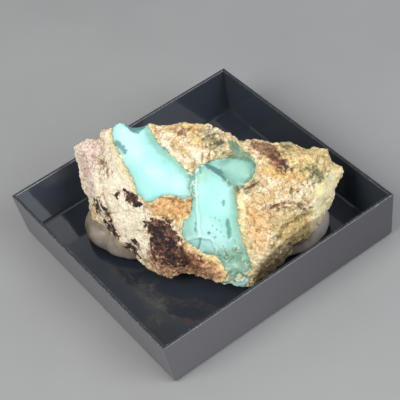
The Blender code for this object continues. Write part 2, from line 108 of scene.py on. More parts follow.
# Ridges and steps of the front face, each a line of places that the surface folds along
FRONT_FOLDS = {
    "step from the end slab to the cream band": [
        (-17.8, 11.0, 2.2), (-17.3, 8.7, 2.0), (-17.3, 5.8, 1.6), (-17.8, 2.5, 1.0), (-17.9, 0.0, 0.6),
        (-17.5, -1.8, 0.4), (-16.4, -4.0, 0.4), (-15.2, -6.5, 0.6), (-13.7, -8.3, 0.5),
    ],
    "crest of the cream band": [
        (-16.4, 10.8, 4.6), (-15.6, 8.1, 5.2), (-14.6, 5.1, 5.8), (-13.4, 1.8, 6.4), (-12.1, -0.9, 6.6),
        (-10.7, -4.0, 6.4), (-10.1, -7.2, 5.2), (-10.7, -9.4, 3.0),
    ],
    "left edge of the left vein": [
        (-15.8, 12.2, 4.9), (-15.0, 9.6, 6.2), (-13.7, 6.7, 7.3), (-12.5, 3.6, 8.3), (-11.2, 0.9, 8.9),
        (-9.8, -0.4, 9.4), (-8.0, 0.2, 10.3), (-6.5, 0.8, 11.0), (-4.0, 0.5, 11.9), (-1.8, 0.5, 12.6),
    ],
    "upper edge of the left vein": [
        (-10.6, 12.3, 7.0), (-8.6, 11.5, 8.3), (-7.4, 9.8, 9.3), (-4.9, 7.9, 10.7), (-2.5, 6.1, 11.6),
        (-1.4, 5.1, 12.2),
    ],
    "notch in the top edge": [
        (-13.6, 13.4, 5.9), (-12.7, 12.6, 6.3), (-11.8, 11.9, 6.7), (-10.8, 12.6, 6.9), (-10.0, 13.0, 7.0),
    ],
    "crest over the scoop": [(0.5, 6.4, 14.0), (2.4, 5.1, 13.9), (4.1, 4.1, 13.4), (6.1, 2.4, 12.6)],
    "rim round the scoop": [
        (2.7, 7.6, 12.7), (5.1, 8.2, 11.8), (8.3, 8.1, 11.2), (10.6, 6.7, 11.9), (10.5, 4.7, 12.1),
        (9.1, 2.9, 11.9),
    ],
    "foot of the crest": [(1.6, 6.4, 12.3), (3.4, 5.5, 11.8), (5.1, 4.5, 11.4), (6.8, 3.2, 11.0)],
    "far side of the scoop": [
        (5.3, 7.4, 10.9), (8.2, 7.1, 10.1), (9.6, 6.1, 9.9), (9.4, 4.8, 9.9), (8.4, 3.7, 10.3),
    ],
    "ridge down the right vein": [
        (-0.6, 5.1, 13.2), (-0.5, 0.3, 13.3), (-0.4, -3.8, 12.7), (-0.2, -6.5, 11.9),
    ],
    "right edge of the right vein": [
        (6.7, 0.4, 11.6), (7.0, -2.5, 11.2), (7.2, -5.2, 10.9), (7.8, -7.2, 10.6), (8.7, -9.6, 10.1),
        (9.0, -11.9, 9.7),
    ],
    "chipped foot of the right vein": [
        (-3.1, -5.4, 10.8), (-2.2, -7.5, 10.2), (0.0, -9.0, 9.9), (3.4, -10.3, 9.8), (5.1, -11.6, 9.6),
        (6.9, -13.0, 9.3),
    ],
    "edge of the right cheek": [
        (9.6, 1.8, 11.4), (8.9, -0.9, 12.0), (9.2, -4.5, 12.1), (10.2, -8.1, 12.0), (10.4, -11.2, 11.4),
        (10.6, -13.4, 10.2),
    ],
    "brow of the right face": [(11.2, 5.8, 12.2), (14.5, 5.6, 12.2), (18.8, 4.9, 11.3), (22.0, 4.3, 9.6)],
    "jaw of the right face": [(12.0, -10.6, 11.2), (14.8, -7.8, 11.5), (18.1, -5.4, 10.8), (21.5, -2.8, 8.6)],
}

# Places between the folds
FRONT_PLACES = [
    (-21.0, 9.0, -0.3), (-19.9, 6.3, -0.4), (-19.2, 2.7, -0.8), (-18.9, 8.9, 0.4),
    (-16.0, 3.6, 4.2), (-15.2, -0.9, 3.8), (-13.7, -4.5, 3.8), (-12.3, -7.2, 2.9),
    (-14.6, 13.2, 5.9), (-9.2, 12.9, 7.6), (-13.2, 10.8, 7.4), (-11.4, 8.7, 8.9), (-9.3, 9.6, 9.1),
    (-9.9, 5.1, 10.2), (-7.2, 6.3, 10.9), (-7.6, 2.7, 11.0), (-4.5, 3.6, 11.8),
    (-6.3, 11.2, 9.7), (-3.6, 11.9, 10.3), (-3.6, 9.4, 11.5), (-0.7, 10.8, 12.0), (-0.7, 8.0, 13.0),
    (2.2, 10.8, 12.0), (4.3, 10.1, 11.6), (1.6, 8.9, 12.9), (6.3, 9.2, 10.9),
    (4.6, 6.4, 11.4), (7.2, 5.4, 10.7),
    (2.5, 1.8, 13.6), (2.5, -1.8, 13.4), (4.0, -5.1, 12.7), (5.1, 0.0, 13.0), (5.4, -2.7, 12.5),
    (5.8, -7.2, 11.6), (1.9, -6.9, 11.7), (3.6, -8.5, 11.2),
    (-9.0, -2.4, 8.8), (-6.7, -1.3, 9.8), (-4.0, -0.9, 10.8), (-2.6, -2.2, 11.3), (-7.8, -4.4, 8.1),
    (-5.1, -4.0, 9.3), (-6.7, -6.9, 8.0), (-4.5, -7.4, 9.2), (-8.7, -8.0, 6.2), (-7.6, -10.6, 6.0),
    (-5.1, -10.1, 7.6), (-2.2, -10.5, 8.7), (0.7, -11.9, 8.9), (-5.4, -12.4, 5.6), (3.3, -13.7, 9.0),
    (12.3, 3.0, 12.8), (15.5, 2.6, 12.4), (13.6, -0.4, 13.2), (17.4, -0.6, 12.4), (20.6, 0.4, 10.3),
    (23.0, 1.4, 8.2), (13.0, -4.2, 13.1), (16.3, -3.6, 12.3), (12.3, -8.0, 12.5), (19.4, 2.4, 11.2),
    (8.7, 9.4, 10.4), (11.6, 8.7, 11.1), (14.5, 8.0, 11.3), (17.3, 8.0, 10.4), (20.2, 8.0, 9.0),
    (22.8, 6.9, 7.8), (24.2, 5.1, 7.4),
]

# Back and underside of the nugget: (along, aside, height), along the tray's diagonal towards +X +Y,
# aside towards +X -Y, and height above the ground
BACK_PLACES = [
    (-18.5, -6.8, 14.5), (-10.0, -7.6, 18.5), (-1.0, -7.4, 20.2), (7.5, -6.4, 17.0), (15.5, -8.2, 14.2),
    (22.0, -8.6, 11.8),
    (-19.5, -4.5, 10.2), (-13.5, -8.4, 11.2), (-5.5, -9.8, 11.6), (3.0, -8.8, 11.5), (10.5, -9.4, 9.2),
    (18.0, -8.4, 7.6), (23.5, -5.4, 8.2),
    (-16.5, -2.5, 4.6), (-9.0, -5.2, 4.0), (0.0, -6.2, 3.5), (7.5, -5.4, 3.6), (15.0, -5.2, 3.9),
    (21.0, -2.5, 5.6),
    (-12.0, 3.0, 3.6), (-4.5, 7.5, 3.3), (4.0, 8.5, 3.4), (10.5, 8.5, 3.3), (16.0, 2.5, 3.6),
    (-5.0, 0.5, 3.3), (5.5, 1.5, 3.2), (-1.0, 11.0, 3.4), (8.0, 12.0, 3.4),
]

# Outline of the turquoise on the front face: broken glassy and smooth, unlike the rock round it
VEIN_OUTLINE = [
    (-16.2, 12.4), (-14.6, 15.0), (-10.0, 14.6), (-8.4, 12.0), (-7.6, 10.1), (-4.9, 7.9), (-1.6, 5.4),
    (0.5, 6.6), (2.7, 7.6), (8.3, 7.8), (10.3, 6.4), (9.0, 3.4), (6.6, 2.0), (7.0, -2.5), (8.2, -7.4),
    (9.1, -11.9), (5.1, -11.4), (-2.2, -7.6), (-3.3, -5.0), (-1.4, -1.0), (-2.0, 0.6), (-8.0, 0.3),
    (-9.9, -0.4), (-12.5, 3.6),
]

# Roughness of the broken rock, as in the part's source: the size across and height of each grade of lump, and
# the size and slope of its chipped facets
ROCK_LUMPS = [(5.2, 0.6), (2.2, 0.3)]
ROCK_CHIPS = [(4.2, 0.34), (2.1, 0.26)]

# Where in the noise each chip's tilt along X, Y and Z is read
CHIP_SPREAD = 7.3
CHIP_SHIFTS = [Vector((0.0, 0.0, 0.0)), Vector((31.7, 5.3, 11.9)), Vector((13.1, 47.9, 3.7))]

# Gentle lumps of the vein, the width over which rock gives way to it, and the front's share of the roughness
VEIN_LUMP_HEIGHT = 0.06
VEIN_LUMP_SIZE = 3.0
VEIN_EDGE = 0.8
FRONT_ROUGHNESS = 0.5

# Finer breaks that only the looks have: grains, small chips, and tilted plates with crevices round them, which
# lie in scattered areas
GRAINS = [(1.3, 0.23), (0.62, 0.19)]
FINE_CHIPS = [(1.1, 0.30)]
PLATE_SIZE = 2.3
PLATE_SLOPE = 0.22
PLATE_CREVICE = 0.24
PLATE_CREVICE_WIDTH = 0.06
BROKEN_AREA_SIZE = 6.0

# How much smoother the rock is where it is cream or olive
CREAM_CALM = 0.6
OLIVE_CALM = 0.3

# Breaks of the vein: the groove round it, the crumbs where it is crushed, and the chips of its mossy foot
GROOVE_DEPTH = 0.12
GROOVE_WIDTH = 0.2
GROOVE_LENGTH = 2.5
CRUMB_SIZE = 0.8
CRUMB_HEIGHT = 0.22
VEIN_CHIP_SIZE = 1.5
VEIN_CHIP_SLOPE = 0.30

# Streaks of the front face, which rise to the right
STREAK_LEAN = math.radians(32.0)
STREAK_LENGTH = 2.6
STREAK_WIDTH = 0.5

# Outlines of what differs on the front face, each as it is seen
REGIONS = {
    "left vein": [
        (-15.9, 13.3), (-15.9, 15.5), (-10.2, 15.5), (-9.5, 13.6), (-8.6, 11.9), (-7.6, 10.4), (-6.3, 9.1),
        (-4.9, 7.9), (-3.8, 6.7), (-2.9, 5.7), (-1.8, 5.2), (-1.1, 4.5), (-0.7, 3.3), (-1.0, 1.8),
        (-1.8, 0.6), (-2.9, 0.2), (-3.9, 0.6), (-5.4, 0.9), (-6.6, 0.8), (-7.9, 0.2), (-8.9, -0.5),
        (-9.9, -0.3), (-11.3, 1.1), (-11.9, 2.2), (-12.4, 4.2), (-13.6, 6.2), (-14.3, 8.2), (-15.4, 9.9),
        (-15.9, 11.9),
    ],
    "centre vein": [
        (0.2, 6.7), (1.3, 6.1), (2.4, 5.3), (4.1, 4.2), (5.4, 3.3), (6.3, 1.9), (6.6, 0.2), (6.8, -2.5),
        (7.1, -5.1), (7.6, -7.1), (8.5, -9.5), (9.1, -11.5), (9.0, -12.8), (7.8, -12.3), (6.5, -11.9),
        (5.6, -11.2), (4.8, -11.5), (3.9, -11.2), (3.5, -10.1), (1.4, -9.8), (0.1, -9.1), (-1.9, -7.8),
        (-3.1, -6.8), (-3.4, -5.1), (-2.9, -3.8), (-1.9, -3.1), (-1.5, -1.8), (-1.5, -0.5), (-1.6, 0.6),
        (-1.7, 2.2), (-1.6, 4.0), (-0.9, 5.7),
    ],
    "scoop": [
        (0.6, 6.5), (1.6, 6.8), (2.8, 7.2), (3.8, 7.5), (4.8, 7.7), (6.3, 7.6), (8.1, 7.4), (9.8, 7.1),
        (10.1, 6.2), (9.8, 4.9), (8.8, 3.7), (7.8, 2.7), (6.8, 2.4), (5.8, 2.7), (4.7, 3.9), (3.1, 5.1),
        (1.6, 5.9),
    ],
    "spur": [
        (4.9, 10.4), (6.0, 10.6), (7.7, 9.4), (9.3, 8.0), (10.2, 6.9), (8.1, 7.0), (6.4, 7.3), (4.8, 7.3),
        (6.0, 8.2), (5.5, 9.3),
    ],
    "lower vein": [
        (3.4, -10.5), (4.3, -8.7), (5.4, -9.0), (7.2, -8.3), (8.3, -9.4), (9.2, -11.2), (9.3, -12.7),
        (8.5, -13.4), (8.9, -14.3), (8.2, -15.8), (6.5, -16.1), (4.8, -15.9), (3.9, -15.3), (4.7, -14.4),
        (5.0, -13.2), (4.4, -12.3),
    ],
    "back of the notch": [
        (-13.7, 13.5), (-12.7, 12.7), (-11.8, 11.8), (-10.7, 12.6), (-9.9, 13.2), (-9.9, 14.5), (-13.7, 14.5),
    ],
    "foot of the lens": [
        (-1.8, -7.5), (-0.2, -8.3), (0.6, -8.7), (1.9, -8.8), (3.0, -8.9), (3.2, -10.0), (1.5, -9.9),
        (0.3, -9.5), (-0.7, -8.9), (-1.8, -8.3),
    ],
    "tongue beside the lens": [(3.3, -9.2), (4.6, -9.0), (4.6, -11.3), (3.9, -11.5), (3.4, -10.6)],
    "layers over the tip": [(4.9, -12.9), (8.6, -12.5), (8.8, -14.3), (5.5, -14.7), (4.4, -14.9)],
    "crumbs under the scoop": [
        (6.0, 2.9), (7.8, 2.5), (9.8, 4.0), (10.3, 2.9), (9.0, 1.4), (7.2, 1.4), (6.3, 2.0),
    ],
    "grey blotch": [
        (-15.6, 10.3), (-14.8, 10.8), (-13.7, 9.8), (-13.3, 8.7), (-13.8, 8.2), (-14.5, 9.2), (-15.4, 9.8),
    ],
    "foot of the crest": [
        (0.6, 6.5), (2.4, 6.3), (3.6, 5.5), (4.1, 4.6), (5.0, 3.5), (5.5, 2.8), (5.3, 2.6), (4.1, 3.9),
        (2.9, 4.7), (1.4, 5.6),
    ],
    "green facet": [
        (-3.1, -3.9), (-2.0, -3.6), (-1.1, -4.7), (-0.5, -6.0), (-0.7, -7.3), (-1.8, -7.0), (-2.9, -6.1),
    ],
    "upper edge": [
        (-9.8, 13.3), (-8.6, 12.1), (-7.6, 10.4), (-6.3, 9.1), (-4.9, 7.9), (-3.3, 6.3), (-2.2, 5.2),
        (-3.1, 4.6), (-5.1, 6.4), (-7.2, 8.2), (-8.9, 10.0), (-10.1, 11.5), (-10.4, 12.8),
    ],
    "seam": [
        (-4.1, 6.4), (-1.6, 4.8), (-0.4, 6.2), (2.2, 5.2), (1.6, 3.4), (-0.4, 2.6), (-1.4, 0.6), (-2.6, 1.0),
        (-3.0, 3.4),
    ],
    "far right top": [
        (10.4, 8.0), (14.6, 10.6), (18.1, 11.4), (25.8, 10.4), (26.8, 6.7), (24.6, 5.0), (22.2, 6.1),
        (19.0, 3.9), (15.4, 3.6), (12.7, 4.8),
    ],
    "foot of the saddle": [
        (10.6, 5.4), (12.4, 5.6), (15.4, 5.2), (17.6, 5.0), (19.8, 4.3), (19.2, 3.4), (16.0, 3.8),
        (13.0, 4.4), (11.0, 4.4),
    ],
    "tip": [(4.0, -14.6), (5.6, -14.5), (9.4, -14.0), (9.0, -16.6), (4.2, -16.6)],
    "top of the left vein": [
        (-15.6, 13.8), (-12.6, 13.2), (-10.6, 11.6), (-10.0, 9.0), (-11.8, 6.6), (-13.6, 6.0), (-14.8, 9.0),
    ],
    "foot of the centre vein": [
        (-0.6, -5.6), (-0.2, -4.2), (1.0, -3.4), (3.4, -5.4), (5.0, -7.2), (4.6, -9.2), (1.8, -9.2),
        (-0.6, -8.2), (-2.8, -6.8),
    ],
    "right edge": [
        (5.6, 2.5), (6.3, 1.9), (6.7, 0.2), (6.8, -2.5), (7.2, -5.1), (7.7, -7.1), (8.5, -9.5), (9.2, -11.9),
        (8.0, -11.2), (6.9, -9.0), (6.3, -6.5), (6.1, -2.7), (5.9, 0.4),
    ],
    "pink slab": [
        (-23.1, 9.6), (-22.4, 10.5), (-21.0, 11.1), (-18.8, 11.1), (-18.0, 10.7), (-17.8, 8.7), (-18.4, 6.1),
        (-19.0, 3.6), (-19.0, 0.9), (-19.9, 0.7), (-21.0, 4.0), (-22.2, 7.2),
    ],
    "cream band": [
        (-17.6, 12.4), (-16.3, 12.7), (-15.8, 10.8), (-15.3, 9.8), (-14.2, 8.0), (-13.6, 6.0), (-12.4, 4.0),
        (-11.9, 2.0), (-11.0, 0.7), (-9.8, -0.9), (-8.9, -2.2), (-9.2, -3.8), (-9.6, -5.6), (-9.1, -7.8),
        (-8.9, -9.4), (-9.6, -10.5), (-11.4, -9.8), (-13.2, -8.3), (-14.8, -6.7), (-16.1, -4.3),
        (-17.0, -1.8), (-17.9, 0.7), (-18.3, 3.6), (-18.0, 7.2), (-17.8, 10.5),
    ],
    "vein rim yellow": [
        (-16.2, 12.5), (-15.9, 11.9), (-15.4, 9.8), (-14.2, 8.2), (-13.5, 6.2), (-12.3, 4.2), (-11.9, 2.2),
        (-11.2, 0.9), (-11.7, 0.9), (-12.5, 2.5), (-13.1, 4.2), (-14.3, 6.0), (-14.9, 7.8), (-16.2, 9.8),
        (-16.5, 11.6),
    ],
    "orange patch": [
        (-9.8, -0.7), (-8.9, -0.6), (-7.8, 0.1), (-6.5, 0.6), (-5.1, 0.6), (-3.9, 0.3), (-2.7, -0.2),
        (-1.8, 0.0), (-1.5, -1.3), (-2.0, -3.0), (-3.1, -3.6), (-3.7, -4.8), (-5.1, -3.9), (-6.7, -3.6),
        (-8.1, -3.1), (-9.2, -2.0),
    ],
    "orange speck top": [
        (-3.1, 13.0), (-1.8, 13.5), (-0.5, 13.0), (0.4, 11.9), (0.5, 10.5), (-0.4, 9.5), (-1.6, 10.3),
        (-2.5, 11.6),
    ],
    "orange under vein": [
        (-3.3, -7.2), (-1.8, -8.3), (0.0, -9.5), (1.4, -10.1), (3.1, -10.4), (3.8, -11.6), (4.3, -13.0),
        (3.1, -14.5), (0.9, -13.9), (-1.4, -13.2), (-3.3, -12.3), (-4.2, -10.5), (-4.0, -8.3),
    ],
    "orange cheek": [
        (7.8, -0.9), (9.4, -0.5), (11.2, -1.4), (12.8, -2.7), (13.6, -5.1), (13.0, -7.8), (11.6, -9.9),
        (9.8, -10.7), (8.7, -9.0), (8.0, -6.5), (7.4, -3.6),
    ],
    "orange brow": [(13.9, 5.4), (16.1, 5.4), (17.5, 4.3), (16.4, 3.6), (14.6, 4.0)],
    "cream strip": [
        (6.8, 1.8), (7.4, 2.1), (8.3, 0.5), (8.2, -2.2), (8.5, -5.1), (9.4, -8.3), (9.8, -11.2), (9.8, -13.4),
        (9.2, -12.8), (8.9, -10.7), (8.0, -8.1), (7.2, -5.2), (6.9, -2.2),
    ],
    "cream rim": [
        (-3.6, -3.5), (-2.9, -3.3), (-2.0, -2.8), (-1.8, -3.3), (-2.8, -4.0), (-3.3, -5.2), (-2.9, -6.8),
        (-1.8, -7.9), (0.1, -9.2), (1.4, -9.8), (3.4, -10.2), (3.9, -11.3), (4.8, -11.6), (5.8, -11.3),
        (5.6, -11.9), (4.3, -12.2), (3.4, -11.6), (1.3, -10.7), (-0.4, -9.9), (-2.2, -8.7), (-3.5, -7.4),
        (-3.9, -5.2),
    ],
    "cream plates": [
        (-2.3, 9.4), (-1.1, 9.6), (0.4, 9.7), (0.3, 8.7), (0.6, 8.0), (1.3, 6.9), (0.0, 6.2), (-1.3, 7.0),
        (-2.2, 8.0),
    ],
    "cream right": [
        (21.3, 4.0), (23.5, 5.1), (25.3, 6.1), (25.7, 5.2), (24.4, 2.9), (23.7, 0.7), (23.0, -1.4),
        (22.0, -4.0), (20.8, -4.7), (20.2, -2.5), (20.6, 0.4),
    ],
    "brown heart": [
        (-9.7, -4.2), (-9.2, -3.1), (-7.9, -2.9), (-6.3, -3.4), (-5.1, -4.0), (-4.2, -5.1), (-3.6, -6.5),
        (-3.8, -8.0), (-2.6, -9.4), (-1.6, -10.8), (-2.8, -12.2), (-4.6, -12.0), (-6.2, -11.4), (-8.0, -10.8),
        (-8.9, -9.4), (-9.2, -7.2), (-9.7, -5.6),
    ],
    "brown tongue": [
        (-14.2, 1.0), (-13.0, 1.4), (-11.9, 1.1), (-11.0, 0.3), (-10.7, -0.9), (-11.1, -1.5), (-12.2, -1.0),
        (-13.4, -0.1), (-14.6, 0.5), (-15.3, 0.7), (-15.3, 1.2),
    ],
    "brown left": [
        (-19.3, 0.0), (-18.6, 0.3), (-17.9, -0.7), (-17.4, -2.0), (-17.3, -2.5), (-18.3, -2.4), (-19.1, -1.6),
    ],
    "brown left low": [
        (-17.5, -2.3), (-16.8, -3.1), (-16.4, -4.5), (-15.5, -6.0), (-14.9, -7.1), (-15.7, -6.7),
        (-16.9, -5.1),
    ],
    "specks on the band": [
        (-17.9, 6.4), (-17.3, 6.2), (-16.8, 5.5), (-16.5, 4.4), (-16.8, 4.1), (-17.3, 5.0),
    ],
    "beside the left vein": [
        (-7.6, 11.4), (-6.1, 10.8), (-4.3, 8.7), (-2.5, 7.2), (-3.3, 6.7), (-5.1, 8.3), (-6.9, 9.9),
    ],
    "left edge of the slab": [
        (-23.5, 9.9), (-21.7, 10.8), (-21.9, 6.3), (-20.8, 2.7), (-19.5, 0.0), (-20.2, -0.9), (-22.0, 2.7),
        (-23.3, 7.2),
    ],
    "foot of the slab": [
        (-20.6, 4.4), (-17.9, 6.3), (-17.5, 0.0), (-16.6, -4.5), (-18.1, -2.7), (-19.6, 0.9),
    ],
    "brown corner": [
        (-12.1, -7.8), (-11.4, -7.4), (-10.9, -8.5), (-11.2, -10.1), (-12.3, -9.8), (-13.6, -9.2),
        (-13.4, -8.6),
    ],
    "rust low": [
        (-9.4, -9.4), (-7.6, -10.2), (-5.8, -10.8), (-4.0, -10.5), (-2.9, -11.2), (-0.7, -12.3), (1.3, -13.0),
        (2.9, -13.7), (3.8, -15.0), (2.7, -15.2), (0.5, -14.3), (-1.8, -13.4), (-3.6, -13.3), (-5.1, -13.9),
        (-6.9, -13.4), (-8.5, -11.9), (-9.6, -10.7),
    ],
    "rust under the vein": [
        (-3.4, -9.8), (-0.7, -10.3), (1.1, -11.0), (2.9, -11.9), (4.0, -13.4), (3.3, -15.0), (1.1, -14.3),
        (-0.9, -13.2), (-3.0, -12.0),
    ],
    "rust spot": [
        (-3.4, -9.0), (-2.2, -9.2), (-0.9, -9.8), (0.0, -10.7), (0.0, -11.9), (-1.1, -12.6), (-2.5, -11.9),
        (-3.4, -10.7),
    ],
    "red saddle": [
        (8.9, 10.6), (10.8, 10.8), (12.7, 10.3), (14.3, 9.0), (15.7, 7.2), (16.4, 5.4), (15.5, 5.0),
        (13.9, 6.1), (12.3, 7.2), (10.7, 8.0), (9.4, 8.9),
    ],
    "purple brow": [
        (12.3, 9.0), (13.9, 8.9), (15.5, 7.2), (16.3, 5.4), (15.2, 5.2), (13.6, 6.5), (12.3, 7.8),
    ],
    "brown top": [(-4.3, 12.9), (-3.4, 13.3), (-2.5, 12.8), (-2.4, 11.9), (-3.4, 11.7), (-4.2, 12.2)],
    "brown brow arc": [
        (12.7, -1.4), (14.3, -0.6), (16.3, -0.4), (18.1, -0.7), (19.2, -1.6), (18.1, -1.4), (16.3, -1.0),
        (14.3, -1.3),
    ],
    "olive top": [
        (0.3, 12.0), (1.4, 12.3), (2.7, 11.9), (4.0, 11.0), (4.8, 10.3), (4.0, 9.6), (2.8, 9.1), (1.0, 9.2),
        (0.3, 10.3),
    ],
    "olive scoop side": [(3.4, 8.5), (4.7, 8.9), (5.8, 8.7), (6.3, 7.8), (4.7, 7.9), (3.4, 7.6)],
    "green top right": [(14.8, 10.3), (15.9, 10.5), (16.8, 9.8), (16.3, 9.1), (15.2, 9.1)],
    "green right": [
        (19.5, 6.0), (20.8, 6.3), (22.0, 5.7), (23.1, 4.5), (22.6, 3.1), (21.0, 3.3), (19.7, 4.3),
    ],
    "olive jaw": [
        (12.3, -2.9), (14.5, -2.0), (17.0, -1.6), (19.2, -2.0), (20.4, -3.6), (19.9, -5.8), (18.1, -7.8),
        (16.3, -9.8), (14.6, -11.4), (12.8, -12.7), (11.2, -13.4), (11.9, -11.2), (13.4, -9.0), (14.3, -6.9),
        (13.0, -5.1),
    ],
    "olive foot": [
        (9.0, -15.4), (9.2, -13.7), (10.3, -12.3), (12.3, -11.6), (15.0, -10.1), (17.5, -8.3), (19.5, -6.5),
        (18.6, -8.3), (16.3, -10.3), (13.0, -12.8), (10.5, -15.0),
    ],
    # Painted shade: the underside's foot is darker olive-brown, partly dirt, partly painted shade
    "shaded, dirty foot": [
        (8.7, -15.6), (9.5, -13.1), (11.5, -10.6), (14.2, -8.4), (17.2, -7.6), (16.6, -10.2), (14.4, -12.6),
        (12.0, -14.8), (9.6, -16.2),
    ],
    "ring spot": [(18.1, 6.0), (18.6, 6.5), (19.3, 6.3), (19.6, 5.5), (19.2, 4.9), (18.3, 5.1)],
}

# Which outlines have each colour. The nugget's mesh keeps the distance to them, positive inside.
STAINS = {
    "vein": ["left vein", "centre vein", "scoop", "spur", "lower vein", "foot of the crest"],
    # Partly green turquoise, partly painted shade: the scoop, the vein's upper and right edges and the seam are
    # darker
    "vein_green": [
        "scoop", "spur", "lower vein", "green facet", "upper edge", "seam", "right edge", "foot of the lens",
    ],
    # Painted light: the foot of the centre vein, the tip and the top of the left vein are painted paler
    "vein_pale": ["foot of the centre vein", "tip", "top of the left vein"],
    "vein_warm": ["centre vein"],
    "vein_dull": ["spur"],
    "ochre": ["far right top", "orange speck top"],
    # Partly grey-blue blotch, partly painted shade: the back of the notch and the foot of the crest are painted
    # dark
    "vein_dark": ["back of the notch", "grey blotch", "foot of the crest"],
    "vein_moss": ["spur", "lower vein", "tongue beside the lens"],
    "vein_layers": ["layers over the tip"],
    "cream": [
        "beside the left vein", "cream band", "left edge of the slab", "foot of the slab", "cream strip",
        "cream rim", "cream plates", "cream right",
    ],
    "pink": ["pink slab"],
    "yellow": ["vein rim yellow", "cream rim", "cream strip"],
    "yellow_tint": ["cream right"],
    "orange": ["orange patch", "orange under vein", "foot of the saddle"],
    "orange_tint": ["orange cheek", "orange brow", "orange speck top"],
    "brown": ["brown heart", "brown tongue", "brown left", "brown left low", "brown corner"],
    "ruddy": ["rust low", "rust under the vein"],
    "rust": ["rust spot", "red saddle", "brown brow arc", "brown top", "specks on the band"],
    "purple": ["purple brow"],
    "green": [
        "olive top", "olive scoop side", "green top right", "green right", "ring spot",
        "crumbs under the scoop",
    ],
    "olive": ["olive jaw", "olive foot"],
    # The underside's foot: partly dirt, partly painted shade
    "dirt": ["shaded, dirty foot"],
}

# The same stains on the back, which no photo shows: size of a patch in millimetres, and how rare it is
BACK_STAINS = {
    "cream": (7.0, 0.05),
    "pink": (9.0, 0.35),
    "yellow": (5.0, 0.45),
    "yellow_tint": (7.0, 0.3),
    "orange": (6.0, 0.25),
    "orange_tint": (8.0, 0.15),
    "brown": (5.0, 0.38),
    "ruddy": (6.0, 0.4),
    "rust": (5.5, 0.33),
    "purple": (5.0, 0.6),
    "green": (6.0, 0.4),
    "olive": (9.0, 0.2),
    "dirt": (6.0, 0.45),
    "vein_green": (6.0, 0.1),
    "vein_pale": (6.0, 0.6),
    "vein_warm": (6.0, 0.6),
    "vein_dull": (6.0, 0.6),
    "ochre": (6.0, 0.5),
    "vein_dark": (3.0, 0.7),
    "vein_moss": (4.0, 0.4),
    "vein_layers": (4.0, 0.6),
}

# No place behind counts as further inside or outside a stain than this
BACK_DEPTH_LIMIT = 3.0

# The vein goes through the nugget: where it comes out behind, from the notch on top to the tip below, half its
# width there, and how much and over what length its edges wobble
BACK_VEIN = [(-13.2, 13.4), (-9.5, 4.5), (-2.0, -3.5), (3.5, -9.5), (6.5, -16.4)]
BACK_VEIN_HALF = 1.3
BACK_VEIN_WOBBLE = 0.9
BACK_VEIN_WOBBLE_SIZE = 3.5

# How each stain is laid on: softness and raggedness of its edge and the size of the grain in that edge, all in
# millimetres, how crumbly the edge is, and how much of what lies under it the stain covers
PATCHES = {
    "vein": (0.08, 0.42, 0.9, 0.68, 1.0),
    "vein_green": (1.1, 0.8, 1.6, 0.68, 0.85),
    "vein_pale": (1.2, 0.8, 2.0, 0.68, 0.42),
    "vein_warm": (1.2, 0.6, 2.0, 0.68, 0.35),
    "vein_dull": (0.5, 0.6, 1.4, 0.68, 1.0),
    "vein_dark": (0.25, 0.4, 0.9, 0.5, 0.88),
    "vein_moss": (0.5, 1.2, 1.4, 0.5, 0.85),
    "vein_layers": (0.3, 0.5, 1.0, 0.68, 0.85),
    "cream": (0.5, 1.2, 1.4, 0.68, 0.93),
    "pink": (0.4, 1.0, 1.2, 0.68, 0.8),
    "yellow": (0.35, 0.6, 0.9, 0.68, 0.75),
    "yellow_tint": (1.2, 2.4, 1.6, 0.68, 0.8),
    "orange": (0.5, 1.6, 1.0, 0.68, 0.9),
    "orange_tint": (1.2, 2.5, 1.6, 0.68, 0.62),
    "ochre": (0.8, 1.6, 1.4, 0.68, 0.68),
    "brown": (0.25, 1.6, 1.2, 0.6, 1.0),
    "ruddy": (0.5, 1.3, 1.1, 0.55, 0.9),
    "rust": (0.5, 1.5, 1.1, 0.55, 0.88),
    "purple": (0.5, 1.2, 1.0, 0.55, 1.0),
    "green": (0.9, 1.3, 1.0, 0.55, 1.0),
    "olive": (1.4, 3.0, 1.3, 0.68, 0.75),
    "dirt": (0.8, 0.8, 1.2, 0.68, 0.62),
}

# Small tones, in the values that a screen shows; the main ones are properties of the pieces. Some of them are
# painted light and shade: the knobs' painted highlight, the pits' painted shade, the foot's dirt and painted
# shade, the ridges' painted highlight, the vein's painted light and the rim top's painted dark.
TONES = {
    "dark cream": (246, 226, 194), "gold": (222, 186, 122), "ochre": (196, 156, 88),
    "pale ochre": (240, 214, 142), "painted knob highlight": (255, 246, 206), "dirt": (84, 70, 46),
    "pale crumb": (255, 243, 212), "ochre crumb": (250, 230, 166), "dark crumb": (150, 106, 62),
    "fleck": (104, 70, 44), "pink slab's fleck": (140, 92, 84), "dark ruddy": (122, 82, 66),
    "pale ruddy": (200, 154, 118), "dark rust": (104, 60, 46), "purple": (78, 46, 38),
    "crust crumb": (166, 116, 96), "black iron": (26, 20, 25), "brown iron": (92, 60, 54),
    "gap": (122, 82, 50), "hem": (206, 160, 96), "pale hem": (250, 232, 172), "painted pit shade": (98, 68, 40),
    "crack": (96, 66, 44), "warm vein": (170, 224, 204), "pale moss": (140, 184, 162),
    "rock bit": (204, 196, 152), "pale vein, painted light": (214, 248, 244), "dull vein": (104, 112, 76),
    "layer": (170, 124, 84), "pale layer": (230, 220, 176), "ridge": (206, 244, 238),
    "crushed, dark": (84, 112, 88), "crushed, pale": (240, 232, 200), "putty speck": (214, 204, 186),
    "painted dark on the rim top": (22, 22, 25), "grease": (98, 94, 84), "dust": (120, 118, 112),
}

